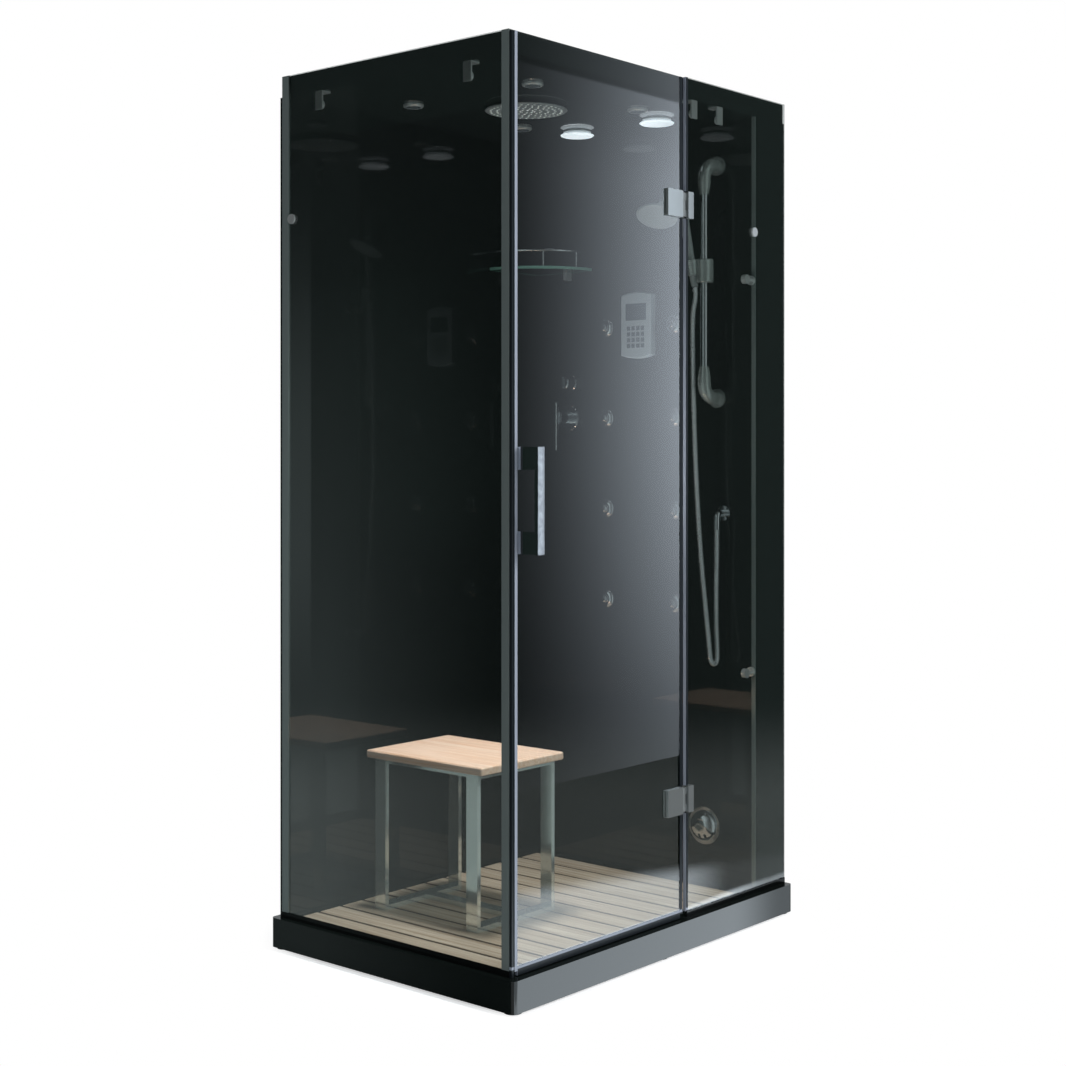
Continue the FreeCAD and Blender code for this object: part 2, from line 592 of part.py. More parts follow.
def build_profiles():
    """Aluminium profiles: front and back edge and foot of the side pane, foot of the front pane, wall trim."""
    wall = D.profile_wall
    across = (LEFT - wall, LEFT_IN + wall)
    upright = (RIM, TOP)
    start = FRONT + D.profile_lead
    stop = start + D.front_profile
    back = WALL_Y - D.back_profile
    front_edge = channel("profile_front", across, (start, stop), upright,
                         ((LEFT, LEFT_IN), (start + wall, stop + 1), (GLASS_BOTTOM, TOP + 1)))
    back_edge = channel("profile_back", across, (back, WALL_Y), upright,
                        ((LEFT, LEFT_IN), (back - 1, WALL_Y - wall), (GLASS_BOTTOM, TOP + 1)))
    foot = (RIM, RIM + D.channel_height)
    above = (GLASS_BOTTOM, RIM + D.channel_height + 1)
    side_foot = channel("profile_side_foot", across, (stop, back), foot,
                        ((LEFT, LEFT_IN), (stop - 1, back + 1), above))
    front_foot = channel("profile_front_foot", (FIXED_LEFT, RIGHT), (FRONT - wall, FRONT_IN + D.fit_gap), foot,
                         ((FIXED_LEFT - 1, RIGHT + 1), (FRONT, FRONT_IN), above))
    trim = box("profile_wall_trim", (WALL_X - wall, WALL_X),
               (FRONT_IN + D.fit_gap, FRONT_IN + D.fit_gap + D.wall_trim), (RIM, CEILING))
    node("glass_profiles", group("profiles", front_edge, back_edge, side_foot, front_foot, trim))


def seam_lengths(low, high):
    """The lengths of a seam seal between and beside the hinges."""
    half = D.leaf_height / 2 + 1
    first, second = HINGES
    return [(low, first - half), (first + half, second - half), (second + half, high)]


def build_seals():
    """Clear edge seals: the corner magnet strip and seam seal that stay, and the door's own three."""
    wall, grip = D.seal_wall, D.seal_grip
    depth = (FRONT - wall, FRONT_IN + wall)
    strip = box("corner_magnet", (LEFT + 1, LEFT + 1 + D.magnet_width), (FRONT, FRONT + D.profile_lead),
                (RIM, DOOR_TOP))
    fixed = [strip]
    for i, z in enumerate(seam_lengths(RIM + D.channel_height, TOP)):
        fixed.append(channel(f"fixed_seam{i}", (FIXED_LEFT - D.seal_reach, FIXED_LEFT + grip), depth, z,
                             ((FIXED_LEFT, FIXED_LEFT + grip + 1), (FRONT, FRONT_IN), (z[0] - 1, z[1] + 1))))
    node("fixed_seals", group("seals_fixed", *fixed))
    lead = (DOOR_LEFT - D.seal_reach, DOOR_LEFT + grip)
    moving = [channel("door_magnet", lead, depth, (DOOR_BOTTOM, DOOR_TOP),
                      ((DOOR_LEFT, DOOR_LEFT + grip + 1), (FRONT, FRONT_IN), (DOOR_BOTTOM - 1, DOOR_TOP + 1)))]
    for i, z in enumerate(seam_lengths(DOOR_BOTTOM, DOOR_TOP)):
        moving.append(channel(f"door_seam{i}", (DOOR_RIGHT - grip, DOOR_RIGHT + D.seal_reach), depth, z,
                              ((DOOR_RIGHT - grip - 1, DOOR_RIGHT), (FRONT, FRONT_IN), (z[0] - 1, z[1] + 1))))
    sweep_top = DOOR_BOTTOM - D.door_bottom_gap + 2 + D.sweep_height
    sweep_x = (DOOR_LEFT + grip, DOOR_RIGHT - grip)
    moving.append(channel("door_sweep", sweep_x, depth, (RIM + 2, sweep_top),
                          ((sweep_x[0] - 1, sweep_x[1] + 1), (FRONT, FRONT_IN), (DOOR_BOTTOM, sweep_top + 1))))
    node("door_seals", group("seals_moving", *moving))


def build_clamps():
    """Roof clamps, wall ties and bolt caps of the fixed panes."""
    plate, width = D.clamp_plate, D.clamp_width
    pieces = []
    low = CEILING - D.clamp_height
    for i, y in enumerate((FRONT + D.side_clamp_front, WALL_Y - D.side_clamp_back)):
        span = around(y, width)
        pieces.append(fuse(
            f"side_clamp{i}",
            box(f"side_clamp_leg{i}", (LEFT_IN, LEFT_IN + plate), span, (low, CEILING)),
            box(f"side_clamp_foot{i}", (LEFT_IN, LEFT_IN + D.clamp_foot), span, (CEILING - plate, CEILING)),
            rod(f"side_clamp_knob{i}", (LEFT_IN + plate, y, low + width / 2), "x", D.clamp_button,
                D.button_depth)))
    for i, x in enumerate((AXIS_X + D.front_clamp_left, WALL_X - D.front_clamp_right)):
        span = around(x, width)
        pieces.append(fuse(
            f"front_clamp{i}",
            box(f"front_clamp_leg{i}", span, (FRONT_IN, FRONT_IN + plate), (low, CEILING)),
            box(f"front_clamp_foot{i}", span, (FRONT_IN, FRONT_IN + D.clamp_foot), (CEILING - plate, CEILING)),
            rod(f"front_clamp_knob{i}", (x, FRONT_IN + plate, low + width / 2), "y", D.clamp_button,
                D.button_depth)))
    tie_end = WALL_X - D.profile_wall
    for i, height in enumerate((D.tie_low, D.tie_high)):
        z = RIM + height
        x = tie_end - D.tie_reach
        pieces.append(fuse(
            f"tie{i}",
            rod(f"tie_seat{i}", (x, FRONT_IN, z), "y", D.cap_radius, D.button_depth * 2),
            rod(f"tie_arm{i}", (x, FRONT_IN + D.button_depth, z), "x", D.tie_rod, D.tie_reach),
            rod(f"tie_foot{i}", (tie_end, FRONT_IN + D.cap_radius + 1, z), "-x", D.cap_radius,
                D.button_depth)))
    cap_z = RIM + D.cap_height
    pieces.append(rod("cap_side", (LEFT, WALL_Y - D.back_profile - D.cap_radius, cap_z), "-x", D.cap_radius,
                      D.cap_depth))
    pieces.append(rod("cap_front", (WALL_X - D.cap_radius, FRONT, cap_z), "-y", D.cap_radius, D.cap_depth))
    node("glass_clamps", group("clamps", *pieces))


# ---------------------------------------------------------------- door
def leaf(name, z, side, reach, knuckles, half_web):
    """One hinge leaf: two plates on the pane, the web between them in the pane's notch, and its knuckles."""
    gap, thick = D.leaf_gap, D.leaf_thickness
    near, far = AXIS_X + side * gap, AXIS_X + side * (gap + reach)
    web_end = AXIS_X + side * (gap + D.web_depth)
    span = (near, far) if side > 0 else (far, near)
    web = (near, web_end) if side > 0 else (web_end, near)
    link = (AXIS_X, near + 1) if side > 0 else (near - 1, AXIS_X)
    tall = around(z, D.leaf_height)
    parts = []
    for tag, depth in (("out", (FRONT - thick, FRONT)), ("in", (FRONT_IN, FRONT_IN + thick))):
        parts.append(soften(f"{name}_{tag}", box(f"{name}_{tag}_block", span, depth, tall), D.leaf_corner,
                            runs_along("y")))
    parts.append(box(f"{name}_web", web, (FRONT, FRONT_IN), (z - half_web, z + half_web)))
    for i, (low, high) in enumerate(knuckles):
        parts.append(rod(f"{name}_knuckle{i}", (AXIS_X, AXIS_Y, z + low), "z", D.knuckle_radius, high - low))
        parts.append(box(f"{name}_link{i}", link, around(AXIS_Y, D.glass), (z + low, z + high)))
    bore = rod(f"{name}_bore", (AXIS_X, AXIS_Y, z - D.leaf_height), "z", D.pin_radius + D.pin_play,
               D.leaf_height * 2)
    return cut(name, fuse(f"{name}_solid", *parts), bore)


def build_hinges():
    """Two glass-to-glass hinges: fixed leaf with two knuckles, door leaf with the middle one, and the pin."""
    half = D.door_knuckle / 2
    low, high = half + D.knuckle_play, half + D.knuckle_play + D.fixed_knuckle
    half_web = D.leaf_height / 2 - D.web_inset
    fixed, moving, pins = [], [], []
    for i, z in enumerate(HINGES):
        fixed.append(leaf(f"fixed_leaf{i}", z, 1, D.fixed_leaf, [(low, high), (-high, -low)], half_web))
        moving.append(leaf(f"door_leaf{i}", z, -1, D.door_leaf, [(-half, half)], half_web))
        pins.append(rod(f"hinge_pin{i}", (AXIS_X, AXIS_Y, z - high), "z", D.pin_radius, high * 2))
    node("hinge_fixed_leaves", group("leaves_fixed", *fixed))
    node("hinge_door_leaves", group("leaves_door", *moving))
    node("hinge_pins", group("pins", *pins))


def build_door():
    """The door pane and its square handle on two blocks, bolted through the glass."""
    x = LEFT + D.handle_offset
    low = RIM + D.handle_bottom
    heights = [low + D.handle_block / 2, low + D.handle_length - D.handle_block / 2]
    web = D.leaf_gap + D.web_depth + D.fit_gap
    node("door_glass", panel(
        "door_pane", "XZ_Plane", rectangle((DOOR_LEFT, DOOR_BOTTOM), (DOOR_RIGHT, DOOR_TOP)), D.glass, FRONT,
        [((x, z), D.handle_bolt + D.fit_gap) for z in heights],
        hinge_notches("door", (AXIS_X - web, DOOR_RIGHT + 1))))
    span = around(x, D.handle_width)
    bar_back = FRONT - D.handle_reach + D.handle_bar
    parts = [box("handle_bar", span, (FRONT - D.handle_reach, bar_back), (low, low + D.handle_length))]
    for i, z in enumerate(heights):
        parts.append(box(f"handle_block{i}", span, (bar_back, FRONT), around(z, D.handle_block)))
        parts.append(rod(f"handle_bolt{i}", (x, FRONT, z), "y", D.handle_bolt, D.glass))
        parts.append(rod(f"handle_cap{i}", (x, FRONT_IN, z), "y", D.handle_cap, D.handle_cap_depth))
    node("door_handle", fuse("handle", *parts))


# ---------------------------------------------------------------- steam, water, mixer
def build_steam():
    """The steam outlet dome, low on the wall, and the generator that stands on the deck in the column."""
    radius, height, skin, flange = D.hood_radius, D.dome_height, D.dome_skin, D.dome_radius
    flat = radius * 0.2
    profile = [(0, height - skin), (0, height), (flat, height, (radius * 0.78, height * 0.68)), (radius, skin),
               (flange, skin), (flange, 0), (radius - skin, 0),
               (radius - skin, skin, (radius * 0.72, height * 0.60)), (flat, height - skin)]
    dome = turned("steam_dome", profile, (WALL_X, STEAM_Y, STEAM_Z), "-x")
    slots = [box(f"steam_slot{i}", (WALL_X - height, WALL_X - skin), around(STEAM_Y + i * 16, 7),
                 (STEAM_Z - radius, STEAM_Z - radius * 0.45)) for i in (-1, 0, 1)]
    node("steam_outlet", cut("steam_hood", dome, *slots))
    x = WALL_X + D.wall_thickness + (D.service_width - D.wall_thickness - D.cover_sheet - D.generator_width) / 2
    low = GENERATOR_Y
    tank = box("generator_tank", (x, x + D.generator_width), (low, low + D.generator_depth),
               (RIM, RIM + D.generator_height))
    node("steam_generator", soften("generator", tank, D.tray_corner, runs_along("z")))


def build_pipework():
    """Copper pipe in the column: feeds to the mixer, jet manifold, hose and rain head feeds, steam pipe."""
    bore, bend = D.pipe_radius, float(D.pipe_bend)
    inlet_z, mixer_z, diverter_z = RIM + D.inlet_height, MIXER_Z, DIVERTER_Z
    back, top = BACK + D.back_ledge, CEILING + D.roof_skin + D.pipe_radius + D.pipe_lift
    cold_x, hot_x, jets_x = COLD_X, HOT_X, WALL_X + D.manifold_set_back
    half, seat = D.valve_width / 2, D.fit_gap
    mixer_top, diverter_low = mixer_z + D.valve_height / 2, diverter_z - D.valve_height / 2
    jet_top = RIM + D.jet_low_z + 3 * D.jet_step
    outlet_z = OUTLET_Z
    face = MIXER_Y + half
    routes = [
        [(cold_x, back - 2, inlet_z), (cold_x, face + 40, inlet_z), (cold_x, face + 40, mixer_z),
         (cold_x, face + seat, mixer_z)],
        [(hot_x, back - 2, inlet_z), (hot_x, face + 40, inlet_z), (hot_x, face + 40, mixer_z - 14),
         (hot_x - 50, face + 40, mixer_z - 14)],
        [(PIPE_X, DIVERTER_Y, diverter_z + D.valve_height / 2 + seat), (PIPE_X, DIVERTER_Y, top),
         (ROOM_X, DIVERTER_Y, top), (ROOM_X, ROOM_Y, top), (ROOM_X, ROOM_Y, CEILING + D.nipple_height)],
        [(PIPE_X, DIVERTER_Y, mixer_top + seat), (PIPE_X, DIVERTER_Y, diverter_low - seat)],
        [(jets_x, DIVERTER_Y - half - seat, diverter_z), (jets_x, JET_FRONT_Y, diverter_z)],
        [(jets_x, JET_BACK_Y, RIM + D.jet_low_z - 20), (jets_x, JET_BACK_Y, jet_top + 20)],
        [(jets_x, JET_FRONT_Y, RIM + D.jet_low_z - 20), (jets_x, JET_FRONT_Y, jet_top + 20)],
        [(jets_x, JET_FRONT_Y, outlet_z), (jets_x, OUTLET_Y, outlet_z),
         (WALL_X + D.wall_thickness - 4, OUTLET_Y, outlet_z)],
    ]
    branches = (4, 7)
    runs = [round_bar(route, bore - D.branch_step if i in branches else bore, bend)[0]
            for i, route in enumerate(routes)]
    stub_start, stub_length = BACK + D.stub_gap, D.back_ledge - D.stub_gap
    for x in (cold_x, hot_x):
        runs.append(Part.makeCylinder(float(D.stub_radius), float(stub_length),
                                      Vector(float(x), float(stub_start), float(inlet_z)), Vector(0, 1, 0)))
    water = runs[0].multiFuse(runs[1:])
    steam_z = STEAM_Z
    steam_x = WALL_X + D.wall_thickness + D.service_width / 2 - 5
    steam = round_bar([(steam_x, GENERATOR_Y, steam_z), (steam_x, STEAM_Y, steam_z),
                       (WALL_X, STEAM_Y, steam_z)], D.steam_pipe, float(D.pipe_bend) + 6)[0]
    node("service_pipework", shaped("pipework", Part.makeCompound(water.Solids + steam.Solids)))


def build_mixer():
    """The valve bodies behind the wall, the plates on it, the mixer lever and the diverter knob."""
    play = D.pin_play
    back = WALL_X + D.wall_thickness
    bodies, plates = [], []
    places = (("mixer", MIXER_Y, MIXER_Z, D.plate_radius, D.lever_reach - 6),
              ("diverter", DIVERTER_Y, DIVERTER_Z, D.knob_plate, D.knob_depth - 4))
    for tag, y, z, plate, reach in places:
        block = box(f"{tag}_block", (back, back + D.valve_depth), around(y, D.valve_width),
                    around(z, D.valve_height))
        stem = rod(f"{tag}_stem", (back, y, z), "-x", D.stem_radius, D.wall_thickness)
        spindle = rod(f"{tag}_spindle", (back, y, z), "-x", D.spindle_radius, D.wall_thickness + reach)
        bodies.append(fuse(f"{tag}_valve", block, stem, spindle))
        collar = D.collar_radius if tag == "mixer" else D.stem_radius + 2
        hole = D.spindle_radius + D.fit_gap
        profile = [(hole, 0), (plate, 0), (plate, D.plate_depth - 3), (plate - 3, D.plate_depth),
                   (collar, D.plate_depth)]
        if tag == "mixer":
            profile += [(collar, D.plate_depth + D.collar_depth)]
        height = D.plate_depth + D.collar_depth if tag == "mixer" else D.plate_depth
        profile += [(hole, height)]
        plates.append(turned(f"{tag}_plate", profile, (WALL_X, y, z), "-x"))
    node("mixer_valves", group("valves", *bodies))
    node("mixer_plates", group("plates", *plates))
    hub_start = D.plate_depth + D.collar_depth + D.running_gap
    bore = D.spindle_radius + play
    depth = D.lever_reach - 6 + play * 4
    hub = turned("lever_hub_turned",
                 [(bore, hub_start), (D.lever_hub, hub_start), (D.lever_hub, D.lever_reach), (0, D.lever_reach),
                  (0, depth), (bore, depth)], (WALL_X, MIXER_Y, MIXER_Z), "-x")
    far = WALL_X - D.lever_reach
    blade = box("lever_blade", (far - D.lever_bar, far), around(MIXER_Y, D.lever_width),
                (MIXER_Z - D.lever_below, MIXER_Z + D.lever_above))
    node("mixer_lever", fuse("lever", hub, soften("lever_blade_round", blade, 3, runs_along("z"))))
    start = D.plate_depth + D.running_gap
    knob = D.knob_radius
    deep = D.knob_depth - 4 + play * 4
    body = turned("knob_turned",
                  [(bore, start), (knob - 2, start), (knob, start + 2), (knob - 2, D.knob_depth + 4),
                   (knob - 6, D.knob_depth + 7), (0, D.knob_depth + 7), (0, deep), (bore, deep)],
                  (WALL_X, DIVERTER_Y, DIVERTER_Z), "-x")
    grip = box("knob_grip", (WALL_X - D.knob_depth - 12, WALL_X - D.knob_depth - 4),
               around(DIVERTER_Y, D.knob_grip), around(DIVERTER_Z, knob * 1.5))
    node("diverter_knob", fuse("knob", body, grip))


def build_jets():
    """Eight body jets: a flange with its threaded tail through the wall, and a swivelling ball nozzle."""
    ball, play = D.jet_ball, D.jet_ball_play
    ring, flange = D.jet_ring, D.jet_flange
    middle = ring - 0.5
    socket = ball + play
    tail = D.jet_tail
    flanges = []
    rise = D.jet_tip
    tip = (float(ball) ** 2 - float(rise) ** 2) ** 0.5
    low = -7.4
    foot = (float(ball) ** 2 - low ** 2) ** 0.5
    for i, (y, z) in enumerate(jet_places()):
        profile = [(tail - 2, -D.jet_tail_length), (tail, -D.jet_tail_length), (tail, 0), (flange, 0),
                   (flange, 2, (flange - 2.5, ring * 0.62)), (flange - 8, ring), (socket, ring), (socket, 1.2),
                   (tail - 2, 1.2)]
        flanges.append(turned(f"jet_flange{i}", profile, (WALL_X, y, z), "-x"))
        nozzle = [(D.jet_bore, middle + low), (foot, middle + low, (ball, middle)), (tip, middle + rise),
                  (D.jet_bore, middle + rise)]
        node(f"jet_nozzle_{i + 1}", turned(f"jet_ball{i}", nozzle, (WALL_X, y, z), "-x"))
    node("jet_flanges", group("flanges", *flanges))


# ---------------------------------------------------------------- riser, bracket, hand shower, hose
def build_riser():
    """The riser bar between two large elbows that turn into the wall, each with a tapered sleeve on the bar."""
    node("riser_bar", rod("bar", (BAR_X, BAR_Y, BAR_LOW), "z", D.bar_radius, D.bar_length))
    elbows = []
    for i, (z, way) in enumerate(((BAR_LOW, -1), (BAR_TOP, 1))):
        end = z + way * D.elbow_rise
        solid = round_bar([(BAR_X, BAR_Y, z), (BAR_X, BAR_Y, end), (WALL_X, BAR_Y, end)],
                          D.elbow_radius, float(D.elbow_bend))[0]
        elbow = shaped(f"elbow_bend{i}", solid)
        flange = rod(f"elbow_flange{i}", (WALL_X, BAR_Y, end), "-x", D.elbow_flange, D.elbow_flange_depth)
        bore = D.bar_radius + D.pin_play
        sleeve = turned(f"elbow_sleeve{i}", [(bore, 0), (D.elbow_radius, 0), (bore + 1.2, D.sleeve_length),
                                             (bore, D.sleeve_length)], (BAR_X, BAR_Y, z),
                        "z" if way < 0 else "-z")
        elbows.append(fuse(f"elbow{i}", elbow, flange, sleeve))
    node("riser_elbows", group("elbows", *elbows))


def at_bracket(left, back, up):
    """A point measured from where the riser bar enters the bracket."""
    return Vector(float(BAR_X - left), float(BAR_Y + back), float(BRACKET_Z + up))


# the hand shower's own points: foot of the grip, top of the grip, middle of the head, way the head faces
GRIP_FOOT = at_bracket(D.foot_left, D.foot_back, D.foot_up)
GRIP_TOP = at_bracket(D.grip_left, D.grip_back, D.grip_up)
HEAD = at_bracket(D.head_left, D.head_back, D.head_up)
FACING = Vector(-0.45, -0.15, -0.88).normalize()


def build_bracket():
    """The sliding bracket: a collar on the bar with an open cone that holds the grip."""
    collar = turned("bracket_collar",
                    [(D.bar_radius + D.pin_play, 0), (D.bracket_radius - 2, 0), (D.bracket_radius, 2),
                     (D.bracket_radius, D.bracket_length - 2), (D.bracket_radius - 2, D.bracket_length),
                     (D.bar_radius + D.pin_play, D.bracket_length)],
                    (BAR_X, BAR_Y, BRACKET_Z))
    doc.recompute()
    lean = (GRIP_TOP - GRIP_FOOT).normalize()
    base = GRIP_FOOT + lean * 8
    length = float(D.socket_length)
    cone = Part.makeCone(float(D.socket_radius) - 2, float(D.socket_radius) + 1, length, base, lean)
    bar_face = Vector(float(BAR_X), float(BAR_Y), base.z + length / 2)
    arm_way = (base + lean * length / 2 - bar_face)
    arm = Part.makeCylinder(length * 0.3, arm_way.Length, bar_face, arm_way)
    through = float(D.bracket_length) * 3
    bar_hole = Part.makeCylinder(float(D.bar_radius + D.pin_play), through * 2, bar_face - Vector(0, 0, through))
    grip_hole = Part.makeCylinder(float(D.grip_radius + D.socket_play), through * 2, base - lean * through, lean)
    body = collar.Shape.fuse([cone, arm]).cut(bar_hole).cut(grip_hole).removeSplitter()
    node("slide_bracket", shaped("bracket", body))


def build_hand_shower():
    """The hand shower: straight grip, bent neck and a round head that faces down into the room."""
    lean = (GRIP_TOP - GRIP_FOOT).normalize()
    grip = Part.makeCone(float(D.grip_radius), float(D.grip_radius) * 0.98, (GRIP_TOP - GRIP_FOOT).Length,
                         GRIP_FOOT, lean)
    back = HEAD - FACING * 10
    route = [GRIP_TOP - lean * 30, GRIP_TOP + lean * 14, back - FACING * 22, back]
    neck = round_bar(route, D.neck_radius, 14)[0]
    radius, depth = float(D.head_radius), float(D.head_depth)
    up = FACING.cross(Vector(0, 1, 0)).normalize()

    def at(out, along):
        return HEAD + up * out + FACING * along

    rim = [Part.LineSegment(at(0, depth / 2), at(radius - 4, depth / 2)).toShape(),
           Part.Arc(at(radius - 4, depth / 2), at(radius, depth / 4), at(radius - 3, 0)).toShape(),
           Part.Arc(at(radius - 3, 0), at(radius * 0.6, -depth * 0.55), at(0, -depth * 0.8)).toShape(),
           Part.LineSegment(at(0, -depth * 0.8), at(0, depth / 2)).toShape()]
    head = Part.Face(Part.Wire(rim)).revolve(HEAD, FACING, 360)
    nut = Part.makeCone(float(D.hose_nut), float(D.grip_radius), float(D.hose_nut_length),
                        GRIP_FOOT - lean * float(D.hose_nut_length), lean)
    solid = grip.fuse([neck, head, nut]).removeSplitter()
    node("hand_shower", shaped("hand_shower_solid", solid))


def hose(name, route):
    """A stretch of hose; prints its bend radii and compares its volume with section times length."""
    solid, length, radii = round_bar(route, D.hose_radius)
    print(name, "length", round(length, 1), "radii", [round(r) for r in radii])
    section = math.pi * float(D.hose_radius) ** 2
    print(name, "volume over section times length", round(solid.Volume / (section * length), 4))
    return node(name, shaped(f"{name}_tube", solid))


# the hose's way as shares of the spans across, back and up: down from the outlet, then up to the joint
HOSE_FALLS = [
    (-0.0, 0.0, 0.8011), (-0.0254, 0.0607, 0.5312), (-0.0635, 0.081, 0.304), (-0.0888, 0.0506, 0.1591),
    (-0.0761, 0.0202, 0.0881), (-0.0508, 0.0, 0.0256), (0.1726, -0.0121, 0.0),
]
HOSE_RISES = [
    (0.4873, -0.0121, 0.0), (0.7107, 0.0081, 0.0103), (0.7411, 0.0506, 0.0356), (0.7259, 0.1417, 0.0803),
    (0.7107, 0.3239, 0.1628), (0.7234, 0.587, 0.2947), (0.7614, 0.8097, 0.461), (0.8249, 0.9514, 0.6502),
    (0.9137, 1.0202, 0.8394),
]


def build_hose():
    """The metal hose: down from the elbow on the wall, a tight bight, and up to the foot of the grip."""
    reach = WALL_X - D.outlet_reach
    end = OUTLET_Z - D.outlet_drop
    elbow = shaped("outlet_bend", round_bar(
        [(WALL_X + D.wall_thickness / 2, OUTLET_Y, OUTLET_Z), (reach, OUTLET_Y, OUTLET_Z), (reach, OUTLET_Y, end)],
        D.outlet_tube, 14.0)[0])
    flange = rod("outlet_flange", (WALL_X, OUTLET_Y, OUTLET_Z), "-x", D.outlet_flange, D.elbow_flange_depth)
    nut = rod("outlet_nut", (reach, OUTLET_Y, end), "z", D.hose_nut, D.hose_nut_length)
    node("hose_outlet", fuse("outlet", elbow, flange, nut))
    start = Vector(float(reach), float(OUTLET_Y), float(end))
    joint = GRIP_FOOT + Vector(float(D.joint_right), float(D.joint_back), -float(D.joint_down))
    low = start.z - float(D.hose_sag)

    def on_way(shares, top):
        across, back, up = shares
        return Vector(start.x + across * (joint.x - start.x), start.y + back * (joint.y - start.y),
                      low + up * (top - low))

    lower = [start, *[on_way(shares, start.z) for shares in HOSE_FALLS],
             *[on_way(shares, joint.z) for shares in HOSE_RISES], joint]
    hose("shower_hose_lower", lower)
    lean = (GRIP_TOP - GRIP_FOOT).normalize()
    tail = GRIP_FOOT - lean * float(D.hose_nut_length)
    rest = float(D.joint_down)
    upper = [joint, joint + (joint - lower[-2]).normalize() * (rest * 0.36), tail - lean * (rest * 0.18), tail]
    hose("shower_hose_upper", upper)


# ---------------------------------------------------------------- control panel
def build_panel():
    """The control panel: bowed housing, screen, and one sealed film with sixteen raised pads."""
    y, z = ROOM_Y + D.panel_shift, RIM + D.panel_z
    low_y, high_y = around(y, D.panel_width)
    low_z, high_z = around(z, D.panel_height)
    body, sketch_on = new_body("panel_body")
    sketch = sketch_on("YZ_Plane")
    outline(sketch, [(low_y, low_z, (y, low_z - D.panel_bulge)), (high_y, low_z), (high_y, high_z,
                     (y, high_z + D.panel_bulge)), (low_y, high_z)])
    pad(body, sketch, D.panel_depth)
    body.setExpression("Placement.Base.x", (WALL_X - D.panel_depth).text)
    face = WALL_X - D.panel_depth

    def front_edge(edge):
        return all(abs(v.Point.x - float(face)) < 1e-6 for v in edge.Vertexes)

    shell = soften("panel_soft", body, D.panel_edge, front_edge)
    screen_z = z + D.screen_up
    keypad_z = z - D.keypad_down
    deep = D.screen_depth
    pockets = [box("screen_pocket", (face - 1, face + deep), around(y, D.screen_width),
                   around(screen_z, D.screen_height)),
               box("keypad_pocket", (face - 1, face + deep / 2), around(y, D.keypad_size),
                   around(keypad_z, D.keypad_size))]
    node("panel_housing", cut("panel_shell", shell, *pockets))
    node("panel_screen", box("screen", (face, face + deep), around(y, D.screen_width),
                             around(screen_z, D.screen_height)))
    film = box("keypad_film", (face, face + deep / 2), around(y, D.keypad_size), around(keypad_z, D.keypad_size))
    pads = []
    for row in range(4):
        for column in range(4):
            centre_y = y + (column - 1.5) * D.key_pitch
            centre_z = keypad_z + (row - 1.5) * D.key_pitch
            pads.append(box(f"key{row}{column}", (face - D.key_rise, face), around(centre_y, D.key_size),
                            around(centre_z, D.key_size)))
    node("panel_keypad", fuse("keypad", film, *pads))


